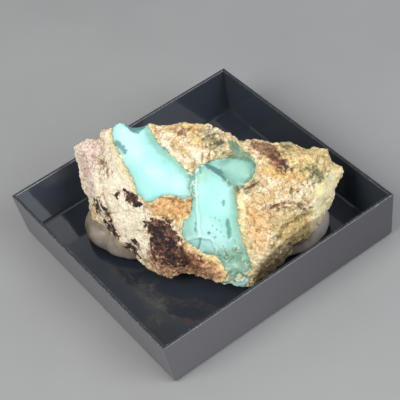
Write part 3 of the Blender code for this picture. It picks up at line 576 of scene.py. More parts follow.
# Raised lines and cracks of the front face: their places, height or depth, and width
MARKS = [
    ([(-0.6, 5.4), (-0.7, 3.1), (-0.7, 0.5), (-0.4, -3.8), (-0.2, -6.5)], 0.13, 0.32),
    ([(-2.3, -7.2), (-1.3, -6.9), (0.1, -6.8)], 0.14, 0.28),
    ([(0.1, -6.8), (1.7, -6.9), (2.4, -7.6), (3.0, -9.0), (3.3, -10.6)], 0.16, 0.28),
    ([(0.1, -6.9), (-0.1, -7.9), (-0.3, -8.7)], -0.2, 0.2),
    ([(3.6, 7.5), (5.8, 7.2), (8.0, 7.2), (10.1, 6.8)], 0.06, 0.3),
    ([(0.5, 8.4), (0.4, 7.4), (0.6, 6.6)], -0.5, 0.28),
    ([(-2.4, 9.3), (-1.9, 8.2), (-1.0, 7.1)], -0.22, 0.4),
    ([(7.6, 2.4), (8.3, 1.9), (9.0, 2.1), (9.8, 2.7), (10.5, 3.4)], -0.55, 0.3),
    ([(12.5, -1.6), (13.7, -0.9), (15.2, -0.6), (17.0, -0.6), (18.3, -1.0), (19.2, -1.8)], -0.4, 0.3),
    ([(16.7, 2.2), (16.6, 1.3), (16.8, 0.4)], -0.25, 0.2),
    ([(-2.3, 5.2), (-1.7, 4.0), (-1.8, 2.5), (-1.4, 1.3), (-1.5, 0.2)], -0.22, 0.3),
    ([(11.2, 4.0), (13.0, 4.7), (15.2, 4.8), (17.4, 4.0), (19.0, 2.7)], -0.3, 0.45),
    ([(-17.9, 10.7), (-18.0, 7.2), (-18.3, 3.6), (-17.9, 0.7), (-17.0, -1.8), (-16.1, -4.3), (-14.8, -6.7)],
     -0.5, 0.45),
    ([(14.3, -6.9), (15.7, -5.1), (18.1, -3.6), (20.1, -2.5)], -0.45, 0.45),
]

# The widest line that is drawn as a dark crack, where wider ones are only folds, how far and over what length
# the drawn lines wander, and the height from which a raised line gets its full painted highlight
CRACK_WIDTH = 0.3
LINE_WANDER = 0.45
LINE_WANDER_LENGTH = 1.4
BRIGHT_RIDGE = 0.13

# Grey-green pits in the vein: middle, half width and half height; the parts of that reach where a pit starts to
# end and has ended; and the half height under which pits are fainter
PITS = [
    ((5.1, -4.4), 0.42, 1.0), ((5.3, -5.9), 0.42, 1.3), ((4.3, -0.6), 0.3, 0.66), ((1.6, -6.0), 0.3, 0.3),
    ((3.5, -3.8), 0.2, 0.2), ((2.7, -3.3), 0.2, 0.2), ((1.9, -3.2), 0.16, 0.16), ((2.2, -4.7), 0.19, 0.19),
    ((3.0, -5.4), 0.2, 0.2), ((3.7, -5.9), 0.18, 0.18), ((2.7, -6.8), 0.22, 0.22), ((1.3, -4.4), 0.15, 0.15),
    ((3.9, -4.8), 0.15, 0.15), ((1.2, -5.4), 0.13, 0.13), ((2.3, -6.1), 0.13, 0.13),
    ((4.3, -6.6), 0.14, 0.14), ((-3.0, -4.9), 0.17, 0.17), ((-0.8, -4.4), 0.15, 0.4),
    ((-0.9, -5.4), 0.16, 0.5), ((2.0, -0.6), 0.14, 0.14), ((3.2, 0.9), 0.12, 0.12),
]
PIT_DEPTH = 0.10
PIT_EDGE = (0.7, 1.25)
FAINT_PIT = 0.3

# Where the turquoise is crushed: a line, and how far to each side of it
CRUSHED = [
    ([(-2.2, 6.0), (-1.5, 4.4), (-1.1, 2.5), (-1.2, 0.2)], 0.7),
    ([(0.2, 6.5), (-0.3, 5.2)], 0.7),
    ([(4.3, -8.5), (4.9, -10.1), (4.4, -12.1), (5.8, -13.2), (8.1, -13.5)], 0.42),
    ([(5.8, -7.1), (7.4, -10.0), (9.1, -13.2)], 0.35),
    ([(5.0, -15.0), (7.0, -14.6), (8.4, -14.2)], 0.35),
    ([(6.9, 1.0), (7.1, -3.0), (7.6, -6.0)], 0.25),
]

# The crest between the centre vein and the scoop, and the notch, stay sharp. The rest of the vein is smoothed:
# the rounds of averaging, how far each round moves a place towards its neighbours, and the distances from the
# vein's edge and from a sharp line over which the smoothing comes in.
VEIN_CREST = [(0.2, 6.6), (2.4, 5.2), (4.1, 4.1), (5.3, 3.2), (6.2, 2.2)]
VEIN_NOTCH = [(-13.6, 13.4), (-12.7, 12.6), (-11.8, 11.9), (-10.8, 12.6), (-10.0, 13.0)]
VEIN_SMOOTHING = 60
VEIN_SMOOTHING_SHARE = 0.7
SMOOTH_FROM_EDGE = (0.1, 1.0)
SMOOTH_FROM_SHARP = (0.2, 1.2)

# Rounds of averaging that give the rough direction of the skin, and the level that hollows are measured from;
# and how directly that direction faces the eye where the back turns into the front
NORMAL_ROUNDS = 12
HOLLOW_ROUNDS = 14
FRONT_TURN = (-0.3, 0.0)

# Putty: outline on the tray's floor, height of its side, the inset and rise of each ring of its dome, and the
# gap under it
PUTTY_OUTLINE = [
    (-17.8, -13.8), (-16.3, -16.2), (-13.1, -17.6), (-9.2, -17.8), (-5.2, -16.7), (-2.4, -14.4), (2.0, -9.4),
    (7.4, -4.4), (13.4, 0.9), (17.9, 6.3), (19.0, 11.2), (18.2, 14.6), (16.3, 17.3), (13.0, 18.4),
    (9.0, 17.4), (3.5, 12.2), (-4.0, 5.4), (-11.0, -1.6), (-16.2, -8.2), (-18.6, -11.2),
]
PUTTY_SIDE_HEIGHT = 2.0
PUTTY_RINGS = [(0.8, 1.5), (1.5, 1.2), (2.0, 0.6)]
PUTTY_TO_FLOOR = 0.02

# Thumbed lumps of the putty: size across and height of each grade. Up to the first distance from the stone the
# putty is darker, partly dirt and partly painted shade, past the second it isn't, and towards +Y it is painted
# paler, as painted light.
PUTTY_LUMPS = [(6.0, 0.55), (2.6, 0.30), (1.1, 0.08)]
PUTTY_DIRT_AND_SHADE = (0.2, 2.2)
PUTTY_PAINTED_LIGHT_END = 14.0

# Greasy smears on the tray's floor: middle, and how far round it they reach
SMEARS = [
    ((3.8, -15.6, 1.0), 3.4), ((8.2, -17.0, 1.0), 3.2), ((11.6, -19.4, 1.0), 3.0), ((17.0, -21.6, 1.0), 4.6),
    ((-20.0, -8.0, 1.0), 6.0),
]

# Corner of the tray that mirrors the lamp: how far from it the mirror gloss starts, and where it is at its full
SHINY_CORNER = (-25.0, -25.0, 5.0)
SHINE_REACH = (20.0, 9.0)

# Painted light on the tray's hazy outer sides and on its inner walls: how brightly they are painted, from its
# near end to its far end
SIDE_PAINTED_LIGHT = (1.28, 0.78)
WALL_PAINTED_LIGHT = (1.3, 0.72)


def shade(red, green, blue):
    """A colour as it looks on screen, turned into the linear values that shaders take"""
    def linear(value):
        part = value / 255.0
        return part / 12.92 if part <= 0.04045 else ((part + 0.055) / 1.055) ** 2.4

    return (linear(red), linear(green), linear(blue), 1.0)


def tone(name):
    """One of the small tones, for a shader"""
    return shade(*TONES[name])


def face_axes():
    """Directions across and up the front face, and toward the eye"""
    toward = Vector((
        math.sin(FACE_AZIMUTH) * math.cos(FACE_ELEVATION),
        -math.cos(FACE_AZIMUTH) * math.cos(FACE_ELEVATION),
        math.sin(FACE_ELEVATION),
    ))
    level = Vector((math.cos(FACE_AZIMUTH), math.sin(FACE_AZIMUTH), 0.0))
    above = toward.cross(level)
    across = math.cos(FACE_ROLL) * level + math.sin(FACE_ROLL) * above
    up = -math.sin(FACE_ROLL) * level + math.cos(FACE_ROLL) * above
    return across, up, toward


ACROSS, UP, TOWARD = face_axes()
FACE_ORIGIN = Vector((0.0, 0.0, TRAY_HEIGHT)) + FACE_CENTRE[0] * ACROSS + FACE_CENTRE[1] * UP


def colour_property(name, colour, description):
    return bpy.props.FloatVectorProperty(
        name=name, description=description, default=colour, size=4, min=0.0, max=1.0, subtype='COLOR'
    )


def length_property(name, metres, description):
    return bpy.props.FloatProperty(
        name=name, description=description, default=metres, min=0.0, precision=5, unit='LENGTH'
    )


def power_property(name, watts, description):
    return bpy.props.FloatProperty(name=name, description=description, default=watts, min=0.0, unit='POWER')


def factor_property(name, value, description):
    return bpy.props.FloatProperty(
        name=name, description=description, default=value, min=0.0, max=1.0, subtype='FACTOR'
    )


class StoneSettings(bpy.types.PropertyGroup):
    skin_square: length_property("Skin square", 0.00023, "Size of the squares of the nugget's skin")
    vein_light: colour_property("Vein, light", shade(164, 228, 222), "Milky turquoise where it is palest")
    vein_middle: colour_property("Vein, middle", shade(158, 220, 213), "Most of the turquoise")
    # Greener turquoise, partly painted shade in the scoop and along the edges
    vein_green: colour_property("Vein, green", shade(126, 174, 156), "Turquoise at the edges and in the scoop")
    # Grey-blue blotches and creases, and painted shade under the crest and at the back of the notch
    vein_dark: colour_property("Vein, dark", shade(84, 132, 128), "Grey-blue blotches and creases")
    vein_moss: colour_property("Vein, mossy", shade(112, 150, 128), "Turquoise in the spur and the foot")
    vein_pit: colour_property("Vein pits", shade(88, 140, 122), "Grey-green specks in the turquoise")
    tan: colour_property("Tan rock", shade(214, 182, 128), "Most of the host rock")
    pale: colour_property("Pale rock", shade(248, 232, 196), "Paler half of the host rock")
    cream: colour_property("Cream rock", shade(255, 244, 218), "Palest host rock")
    pink: colour_property("Pink rock", shade(236, 214, 202), "Slab at the end")
    orange: colour_property("Orange stain", shade(230, 176, 108), "Iron stain beside the vein")
    yellow: colour_property("Yellow rim", shade(255, 243, 178), "Thin rim round the vein")
    rust: colour_property("Rust stain", shade(170, 118, 84), "Red-brown stain between its darkest crumbs")
    brown: colour_property("Brown stain", shade(62, 32, 26), "Near-black iron crust")
    olive: colour_property("Olive stain", shade(184, 161, 92), "Olive stain on the right face")
    green: colour_property("Green patches", shade(90, 104, 66), "Grey-green copper stain")
    vein_roughness: factor_property("Vein roughness", 0.34, "Roughness of the turquoise")
    rock_roughness: factor_property("Rock roughness", 0.82, "Roughness of the host rock")


class PuttySettings(bpy.types.PropertyGroup):
    skin_square: length_property("Skin square", 0.0003, "Size of the squares of the putty's skin")
    colour: colour_property("Colour", shade(154, 145, 134), "Grey putty")
    # Darker putty: in random patches, and beside the stone partly dirt, partly painted shade
    crease_colour: colour_property("Crease colour", shade(116, 104, 84), "Dirty putty beside the stone")
    # Painted light: the putty is painted paler towards its far end
    painted_light_colour: colour_property("Clean colour", shade(186, 174, 168), "Paler putty at the far end")
    roughness: factor_property("Roughness", 0.58, "Roughness of the putty")


class TraySettings(bpy.types.PropertyGroup):
    colour: colour_property("Colour", (0.027, 0.033, 0.043, 1.0), "Black plastic inside the tray")
    # Painted light: the inner walls are painted lighter than the same plastic on the floor
    wall_painted_light_colour: colour_property("Wall colour", (0.048, 0.059, 0.076, 1.0), "Black plastic of the inner walls")
    side_colour: colour_property("Side colour", (0.104, 0.103, 0.114, 1.0), "Hazy black plastic outside")
    scuff_colour: colour_property("Scuff colour", shade(176, 176, 178), "Worn plastic along the rim")
    roughness: factor_property("Roughness", 0.07, "Roughness of the plastic")


class StageSettings(bpy.types.PropertyGroup):
    floor_colour: colour_property("Floor colour", shade(146, 146, 146), "Plain floor under the tray")
    surroundings: colour_property("Surroundings", (0.44, 0.45, 0.47, 1.0), "Soft light from all round")
    key_power: power_property("Key light", 1.55, "Power of the main lamp, above and to the left of the eye")
    fill_power: power_property("Fill light", 1.35, "Power of the lamp on the other side")


class Wiring:
    """Nodes of one material or node group, wired together as they are made"""

    def __init__(self, tree):
        self.tree = tree
        self.places = None

    def node(self, kind, inputs=None, **settings):
        """A new node with these settings, and with values or links for its inputs"""
        made = self.tree.nodes.new(kind)
        for name, value in settings.items():
            setattr(made, name, value)
        for name, value in (inputs or {}).items():
            self.feed(made.inputs[name], value)
        return made

    def feed(self, socket, value):
        """Link a socket to this one, or set its value"""
        if isinstance(value, bpy.types.NodeSocket):
            self.tree.links.new(value, socket)
        else:
            socket.default_value = value

    def maths(self, operation, first, second=0.0, third=0.0):
        made = self.node('ShaderNodeMath', operation=operation)
        for socket, value in zip(made.inputs, (first, second, third)):
            self.feed(socket, value)
        return made.outputs[0]

    def times(self, first, second):
        return self.maths('MULTIPLY', first, second)

    def mix(self, factor, first, second, blend='MIX'):
        """The first colour with this much of the second laid over it"""
        made = self.node('ShaderNodeMix', data_type='RGBA', blend_type=blend)
        for socket, value in zip((made.inputs[0], made.inputs[6], made.inputs[7]), (factor, first, second)):
            self.feed(socket, value)
        return made.outputs[2]

    def two_tone(self, value, low, high, first, last):
        """The first colour where the value is under low, the last where it is over high"""
        return self.mix(self.ramp(value, low, high), first, last)

    def ramp(self, value, low, high, first=0.0, last=1.0):
        """Smooth change from first to last as the value goes from low to high"""
        made = self.node('ShaderNodeMapRange', {
            "Value": value, "From Min": low, "From Max": high, "To Min": first, "To Max": last,
        }, interpolation_type='SMOOTHSTEP')
        return made.outputs["Result"]

    def object_places(self):
        if self.places is None:
            self.places = self.node('ShaderNodeTexCoord').outputs["Object"]
        return self.places

    def noise(self, size, detail=4.0, roughness=0.6, distortion=0.0, stretch=None):
        """Noise whose lumps are about this many millimetres across"""
        places = self.object_places()
        if stretch:
            places = self.node('ShaderNodeMapping', {"Vector": places, "Scale": stretch}).outputs["Vector"]
        made = self.node('ShaderNodeTexNoise', {
            "Vector": places, "Scale": 1.0 / (size * MM), "Detail": detail, "Roughness": roughness,
            "Distortion": distortion,
        })
        return made.outputs["Fac"]

    def cells(self, size):
        """Distance to the edge of the nearest crumb, of crumbs about this many millimetres across"""
        places = self.object_places()
        scale = 1.0 / (size * MM)
        wander = self.node('ShaderNodeTexNoise', {"Vector": places, "Scale": scale, "Detail": 3.0})
        moved = self.node('ShaderNodeVectorMath', {
            0: wander.outputs["Color"], 1: (size * MM,) * 3, 2: places,
        }, operation='MULTIPLY_ADD')
        made = self.node('ShaderNodeTexVoronoi', {
            "Vector": moved.outputs["Vector"], "Scale": scale,
        }, feature='DISTANCE_TO_EDGE')
        return made.outputs["Distance"]

    def distance(self, middle):
        """Distance in metres from a place given in millimetres"""
        made = self.node('ShaderNodeVectorMath', {
            0: self.object_places(), 1: Vector(middle) * MM,
        }, operation='DISTANCE')
        return made.outputs["Value"]

    def attribute(self, name):
        return self.node('ShaderNodeAttribute', attribute_name=name).outputs["Fac"]

    def group(self, tree, inputs):
        made = self.node('ShaderNodeGroup', node_tree=tree)
        for name, value in inputs.items():
            self.feed(made.inputs[name], value)
        return made.outputs


def new_group(name, inputs, outputs):
    """A shader node group with these sockets, and its inner ends"""
    tree = bpy.data.node_groups.new(name, 'ShaderNodeTree')
    for socket, default in inputs.items():
        made = tree.interface.new_socket(name=socket, in_out='INPUT', socket_type='NodeSocketFloat')
        made.default_value = default
    for socket in outputs:
        tree.interface.new_socket(name=socket, in_out='OUTPUT', socket_type='NodeSocketFloat')
    wires = Wiring(tree)
    return tree, wires, wires.node('NodeGroupInput').outputs, wires.node('NodeGroupOutput').inputs


def ragged_patch_group():
    """Group that makes a mask with a ragged edge, from the distance to an outline in millimetres"""
    name = "ragged patch"
    if name in bpy.data.node_groups:
        return bpy.data.node_groups[name]
    defaults = {"Distance": 0.0, "Softness": 0.1, "Raggedness": 0.5, "Grain": 1.0, "Crumble": 0.68}
    tree, wires, given, result = new_group(name, defaults, ["Mask"])
    lumps = wires.node('ShaderNodeTexNoise', {
        "Vector": wires.object_places(), "Detail": 5.0, "Roughness": given["Crumble"],
    })
    wires.feed(lumps.inputs["Scale"], wires.maths('DIVIDE', 1.0 / MM, given["Grain"]))
    wander = wires.times(wires.maths('SUBTRACT', lumps.outputs["Fac"], 0.5), 4.0)
    edge = wires.maths('MULTIPLY_ADD', wander, given["Raggedness"], given["Distance"])
    span = wires.node('ShaderNodeMapRange', {"Value": edge}, interpolation_type='SMOOTHSTEP')
    wires.feed(span.inputs["From Min"], wires.times(given["Softness"], -1.0))
    wires.feed(span.inputs["From Max"], given["Softness"])
    wires.feed(result["Mask"], span.outputs["Result"])
    return tree


def specks_group():
    """Group that makes a mask of small scattered specks, for crumbs and dust"""
    name = "scattered specks"
    if name in bpy.data.node_groups:
        return bpy.data.node_groups[name]
    tree, wires, given, result = new_group(name, {"Size": 0.5, "Share": 0.3}, ["Mask"])
    spots = wires.node('ShaderNodeTexNoise', {
        "Vector": wires.object_places(), "Detail": 3.0, "Roughness": 0.7,
    })
    wires.feed(spots.inputs["Scale"], wires.maths('DIVIDE', 1.0 / MM, given["Size"]))
    low = wires.maths('MULTIPLY_ADD', given["Share"], -0.4, 0.72)
    span = wires.node('ShaderNodeMapRange', {"Value": spots.outputs["Fac"]}, interpolation_type='SMOOTHSTEP')
    wires.feed(span.inputs["From Min"], low)
    wires.feed(span.inputs["From Max"], wires.maths('ADD', low, 0.06))
    wires.feed(result["Mask"], span.outputs["Result"])
    return tree


def new_material(name):
    """An empty node material: its wiring, and its Principled shader"""
    material = bpy.data.materials.new(name)
    material.use_nodes = True
    wires = Wiring(material.node_tree)
    return material, wires, material.node_tree.nodes["Principled BSDF"]


def set_material(obj, material):
    """Make this the object's only material"""
    obj.data.materials.clear()
    obj.data.materials.append(material)


def patch(wires, name):
    """Mask of one of the nugget's stains"""
    softness, raggedness, grain, crumble, _ = PATCHES[name]
    return wires.group(ragged_patch_group(), {
        "Distance": wires.attribute(name), "Softness": softness, "Raggedness": raggedness, "Grain": grain,
        "Crumble": crumble,
    })["Mask"]


def stained(wires, name, colour, stain):
    """The colour so far, with one of the stains laid over it"""
    return wires.mix(wires.times(patch(wires, name), PATCHES[name][-1]), colour, stain)


def specks(wires, size, share):
    """Mask of specks about this many millimetres across; a larger share gives more of them"""
    return wires.group(specks_group(), {"Size": size, "Share": share})["Mask"]


def rock_colour(wires, looks):
    """Colour of the host rock, stain over stain, with painted highlights on its knobs, painted shade in its
    hollows, and dirt and painted shade on the underside's foot
    """
    crumbs = wires.noise(0.62, 6.0, 0.72)
    streaks = wires.ramp(wires.attribute("streaks"), -0.14, 0.14)
    hollow = wires.attribute("hollow")
    plain = wires.maths('MULTIPLY_ADD', wires.ramp(wires.attribute("cream"), -0.3, 0.5), -0.65, 1.0)

    colour = wires.two_tone(wires.noise(3.0, 5.0, 0.62), 0.40, 0.60, looks.tan, looks.pale)
    cream = wires.two_tone(wires.noise(1.3, 5.0, 0.65), 0.36, 0.50, tone("dark cream"), looks.cream)
    colour = stained(wires, "cream", colour, cream)
    colour = stained(wires, "pink", colour, looks.pink)
    colour = stained(wires, "orange_tint", colour, looks.orange)
    colour = stained(wires, "orange", colour, looks.orange)
    golden = wires.two_tone(wires.noise(1.0, 5.0, 0.68), 0.38, 0.58, tone("gold"), looks.yellow)
    colour = stained(wires, "yellow", colour, golden)
    colour = stained(wires, "yellow_tint", colour, looks.yellow)
    ochre = wires.two_tone(wires.noise(0.9, 5.0, 0.7), 0.40, 0.54, tone("ochre"), tone("pale ochre"))
    colour = stained(wires, "ochre", colour, ochre)
    # Painted highlight: paler where the skin stands out of its surroundings
    colour = wires.mix(wires.ramp(hollow, -0.03, -0.16, 0.0, 0.14), colour, tone("painted knob highlight"))
    colour = stained(wires, "olive", colour, looks.olive)
    green = wires.times(patch(wires, "green"), wires.maths('MULTIPLY_ADD', streaks, 0.4, 0.6))
    colour = wires.mix(green, colour, looks.green)
    # Painted shade: the underside's foot is darkened, partly dirt, partly painted shade
    colour = stained(wires, "dirt", colour, tone("dirt"))

    crumb = wires.mix(patch(wires, "ochre"), tone("pale crumb"), tone("ochre crumb"))
    colour = wires.mix(wires.ramp(crumbs, 0.52, 0.66, 0.0, 0.65), colour, crumb)
    dark = wires.times(wires.ramp(crumbs, 0.46, 0.34, 0.0, 0.72), plain)
    colour = wires.mix(dark, colour, tone("dark crumb"))
    flecks = wires.times(wires.times(specks(wires, 0.38, 0.20), 0.7), plain)
    colour = wires.mix(flecks, colour, tone("fleck"))
    flecks = wires.times(patch(wires, "pink"), specks(wires, 0.42, 0.40))
    colour = wires.mix(wires.times(flecks, 0.7), colour, tone("pink slab's fleck"))

    ruddy = wires.two_tone(crumbs, 0.42, 0.56, tone("dark ruddy"), tone("pale ruddy"))
    colour = stained(wires, "ruddy", colour, ruddy)
    rusty = wires.two_tone(crumbs, 0.45, 0.55, tone("dark rust"), looks.rust)
    colour = stained(wires, "rust", colour, rusty)
    purple = wires.times(patch(wires, "purple"), wires.ramp(crumbs, 0.62, 0.48, 0.45, 1.0))
    colour = wires.mix(purple, colour, tone("purple"))
    crust = wires.two_tone(crumbs, 0.44, 0.60, looks.brown, tone("crust crumb"))
    clump = wires.two_tone(crumbs, 0.48, 0.70, tone("black iron"), tone("brown iron"))
    iron = wires.two_tone(wires.noise(1.3, 5.0, 0.62), 0.57, 0.49, crust, clump)
    colour = stained(wires, "brown", colour, iron)

    loose = wires.ramp(wires.noise(2.6, 3.0, 0.5), 0.40, 0.56)
    gaps = wires.times(wires.times(wires.ramp(wires.cells(1.3), 0.10, 0.02), loose), plain)
    colour = wires.mix(wires.times(gaps, 0.4), colour, tone("gap"))
    grain = wires.ramp(wires.noise(0.30, 4.0, 0.7), 0.30, 0.70, 0.76, 1.26)
    colour = wires.mix(wires.maths('MULTIPLY_ADD', plain, 0.6, 0.4), colour, grain, 'MULTIPLY')
    hem = wires.ramp(wires.attribute("vein"), -0.9, -0.1, 0.0, 0.6)
    hem = wires.times(hem, wires.ramp(wires.noise(1.6, 4.0, 0.6), 0.36, 0.56))
    colour = wires.mix(hem, colour, wires.two_tone(crumbs, 0.36, 0.5, tone("hem"), tone("pale hem")))
    # Painted shade: darker in the rock's hollows
    colour = wires.mix(wires.ramp(hollow, 0.01, 0.18, 0.0, 0.5), colour, tone("painted pit shade"))
    faint = wires.ramp(wires.noise(1.1, 3.0, 0.6), 0.36, 0.58, 0.15, 0.75)
    crack = wires.times(wires.ramp(wires.attribute("lines"), -0.25, -0.9), faint)
    return wires.mix(crack, colour, tone("crack"))


def vein_colour(wires, looks):
    """Colour of the turquoise: milky, greener at its edges, with grey blotches and specks. Painted light makes
    it paler at its foot, tip and top; painted shade darkens its edges, hollows, the sides of its ridges and the
    foot of the crest; and its raised lines have a painted highlight
    """
    lines = wires.attribute("lines")
    crushed = wires.attribute("crushed")
    cloud = wires.noise(6.0, 3.0, 0.5, 0.6)
    colour = wires.two_tone(cloud, 0.38, 0.60, looks.vein_middle, looks.vein_light)
    veil = wires.ramp(wires.noise(2.2, 6.0, 0.7, 0.8, (1.0, 1.0, 0.45)), 0.30, 0.70, 0.93, 1.05)
    colour = wires.mix(1.0, colour, veil, 'MULTIPLY')
    # Greener and darker: partly the turquoise's own green, partly painted shade
    colour = stained(wires, "vein_green", colour, looks.vein_green)
    colour = stained(wires, "vein_warm", colour, tone("warm vein"))
    # Painted shade: darker and greener within 1.6 mm of the vein's edge, where it turns away
    colour = wires.mix(wires.ramp(wires.attribute("vein"), 1.6, 0.0, 0.0, 0.42), colour, looks.vein_green)

    moss = wires.two_tone(wires.noise(1.6, 5.0, 0.65), 0.40, 0.62, looks.vein_moss, tone("pale moss"))
    colour = stained(wires, "vein_moss", colour, moss)
    bits = wires.ramp(wires.noise(0.7, 5.0, 0.68), 0.54, 0.64, 0.0, 0.5)
    colour = wires.mix(wires.times(patch(wires, "vein_moss"), bits), colour, tone("rock bit"))
    # Painted light: paler at the foot of the centre vein, at the tip and at the top of the left vein
    colour = stained(wires, "vein_pale", colour, tone("pale vein, painted light"))
    dull = wires.ramp(wires.noise(1.3, 5.0, 0.65), 0.62, 0.42, 0.35, 0.7)
    colour = wires.mix(wires.times(patch(wires, "vein_dull"), dull), colour, tone("dull vein"))
    # Partly grey-blue blotch, partly painted shadow under the crest and at the back of the notch
    colour = stained(wires, "vein_dark", colour, looks.vein_dark)
    colour = wires.mix(wires.times(wires.attribute("pit"), 0.8), colour, looks.vein_pit)
    layered = wires.two_tone(wires.noise(1.2, 4.0, 0.6), 0.44, 0.56, tone("layer"), tone("pale layer"))
    streaks = wires.ramp(wires.attribute("streaks"), -0.1, 0.2)
    layered = wires.mix(streaks, colour, layered)
    colour = stained(wires, "vein_layers", colour, layered)

    # Painted shade beside the raised lines, and a painted highlight along them
    beside = wires.times(wires.ramp(lines, 0.02, 0.2), wires.ramp(lines, 0.7, 0.4, 0.0, 0.25))
    colour = wires.mix(beside, colour, looks.vein_green)
    colour = wires.mix(wires.ramp(lines, 0.62, 1.0, 0.0, 0.5), colour, tone("ridge"))
    colour = wires.mix(wires.ramp(lines, -0.3, -0.9, 0.0, 0.6), colour, looks.vein_dark)
    # Painted shade: darker in the vein's hollows
    hollow = wires.ramp(wires.attribute("hollow"), 0.02, 0.10, 0.0, 0.5)
    colour = wires.mix(hollow, colour, looks.vein_dark)
    bits = wires.noise(1.0, 5.0, 0.62, 1.4)
    dark_bits = wires.times(crushed, wires.ramp(bits, 0.47, 0.38, 0.0, 0.75))
    colour = wires.mix(dark_bits, colour, tone("crushed, dark"))
    pale_bits = wires.times(crushed, wires.ramp(bits, 0.52, 0.60, 0.0, 0.85))
    return wires.mix(pale_bits, colour, tone("crushed, pale"))


def stone_material(looks):
    """Turquoise and host rock, which meet along one ragged edge"""
    material, wires, shader = new_material("turquoise and host rock")
    vein = patch(wires, "vein")
    colour = wires.mix(vein, rock_colour(wires, looks), vein_colour(wires, looks))
    wires.feed(shader.inputs["Base Color"], colour)
    rock_roughness = wires.ramp(wires.noise(1.2), 0.3, 0.7, looks.rock_roughness - 0.12, looks.rock_roughness)
    low, high = looks.vein_roughness - 0.06, looks.vein_roughness + 0.08
    vein_roughness = wires.ramp(wires.noise(2.0), 0.3, 0.7, low, high)
    smoother = wires.node('ShaderNodeMix', data_type='FLOAT')
    wires.feed(smoother.inputs[0], vein)
    wires.feed(smoother.inputs[2], rock_roughness)
    wires.feed(smoother.inputs[3], vein_roughness)
    wires.feed(shader.inputs["Roughness"], smoother.outputs[0])
    grain = wires.maths('MULTIPLY_ADD', wires.noise(0.22, 4.0, 0.7), 0.6, wires.noise(0.7, 5.0, 0.65))
    grain = wires.maths('MULTIPLY_ADD', wires.ramp(wires.cells(1.3), 0.0, 0.12), 0.2, grain)
    rough = wires.maths('MULTIPLY_ADD', vein, -0.90, 1.0)
    height = wires.times(grain, rough)
    bump = wires.node('ShaderNodeBump', {"Height": height, "Distance": 0.0003, "Strength": 1.0})
    wires.feed(shader.inputs["Normal"], bump.outputs["Normal"])
    return material


def vertex_array(vectors, key):
    """A row of three numbers for each vertex"""
    values = np.empty(len(vectors) * 3, np.float32)
    vectors.foreach_get(key, values)
    return values.reshape(-1, 3).astype(float)


def face_view(places):
    """Where millimetre places are seen on the front face, and how far toward the eye they are"""
    offset = places - np.array(FACE_ORIGIN)
    toward = offset @ np.array(TOWARD)
    shrink = 1.0 - toward / EYE_DISTANCE
    seen = np.stack([offset @ np.array(ACROSS) / shrink, offset @ np.array(UP) / shrink], axis=1)
    return seen, toward


def line_distance(spots, line):
    """Distance from each spot to a line of places"""
    nearest = np.full(len(spots), np.inf)
    for start, end in zip(line[:-1], line[1:]):
        start, run = np.array(start), np.array(end) - np.array(start)
        part = np.clip((spots - start) @ run / max(run @ run, 1e-9), 0.0, 1.0)
        nearest = np.minimum(nearest, np.linalg.norm(spots - start - part[:, None] * run, axis=1))
    return nearest


def inside_depth(spots, outline):
    """Distance from each spot to an outline, positive inside it"""
    closed = list(outline) + [outline[0]]
    inside = np.zeros(len(spots), bool)
    for (x0, y0), (x1, y1) in zip(closed[:-1], closed[1:]):
        if y0 != y1:
            between = (y0 > spots[:, 1]) != (y1 > spots[:, 1])
            inside ^= between & (spots[:, 0] < x0 + (spots[:, 1] - y0) * (x1 - x0) / (y1 - y0))
    nearest = line_distance(spots, closed)
    return np.where(inside, nearest, -nearest)


def noise_field(places, size, shift=(0.0, 0.0, 0.0)):
    """Noise at each place, with lumps about this many millimetres across; another shift gives other lumps"""
    moved = places / size + np.array(shift)
    return np.array([noise.noise(place) for place in moved.tolist()])


def chip_fields(places, size, slope):
    """Height of tilted chips at each place, and how far it is from the border between two chips"""
    heights = np.empty(len(places))
    borders = np.empty(len(places))
    tilts = {}
    for i, place in enumerate((places / size).tolist()):
        distances, middles = noise.voronoi(place)
        middle = middles[0]
        key = middle.to_tuple(4)
        if key not in tilts:
            tilts[key] = Vector(noise.noise(middle * CHIP_SPREAD + shift) for shift in CHIP_SHIFTS)
        heights[i] = slope * size * (Vector(place) - middle).dot(tilts[key])
        borders[i] = distances[1] - distances[0]
    return heights, borders


def smooth_step(values, low, high):
    """From 0 at low to 1 at high, level at both"""
    part = np.clip((values - low) / (high - low), 0.0, 1.0)
    return part * part * (3.0 - 2.0 * part)


def neighbour_mean(mesh, values, rounds, share=0.5):
    """Each vertex's values averaged with its neighbours', this many times over"""
    ends = np.empty(len(mesh.edges) * 2, np.int32)
    mesh.edges.foreach_get("vertices", ends)
    first, last = ends[0::2], ends[1::2]
    count = len(mesh.vertices)
    joined = np.bincount(first, minlength=count) + np.bincount(last, minlength=count)
    for _ in range(rounds):
        sums = np.stack([
            np.bincount(first, column[last], count) + np.bincount(last, column[first], count)
            for column in values.T
        ], axis=1)
        values = values + share * (sums / joined[:, None] - values)
    return values


def read_skin(mesh):
    """Millimetre places and normals of a mesh's vertices"""
    return vertex_array(mesh.vertices, "co") / MM, vertex_array(mesh.vertex_normals, "vector")


def reshape_skin(mesh, places):
    """Move a mesh's vertices to these millimetre places"""
    mesh.vertices.foreach_set("co", (places * MM).astype(np.float32).ravel())
    mesh.update()
    mesh.shade_smooth()


def keep_values(mesh, name, values):
    """Store a number for each vertex, for the material to read"""
    kept = mesh.attributes.new(name, 'FLOAT', 'POINT')
    kept.data.foreach_set("value", np.asarray(values, np.float32))


def add_object(name, bm):
    """Turn millimetre mesh data into an object in metres"""
    bmesh.ops.scale(bm, vec=(MM, MM, MM), verts=bm.verts)
    mesh = bpy.data.meshes.new(name)
    bm.to_mesh(mesh)
    bm.free()
    obj = bpy.data.objects.new(name, mesh)
    bpy.context.scene.collection.objects.link(obj)
    return obj


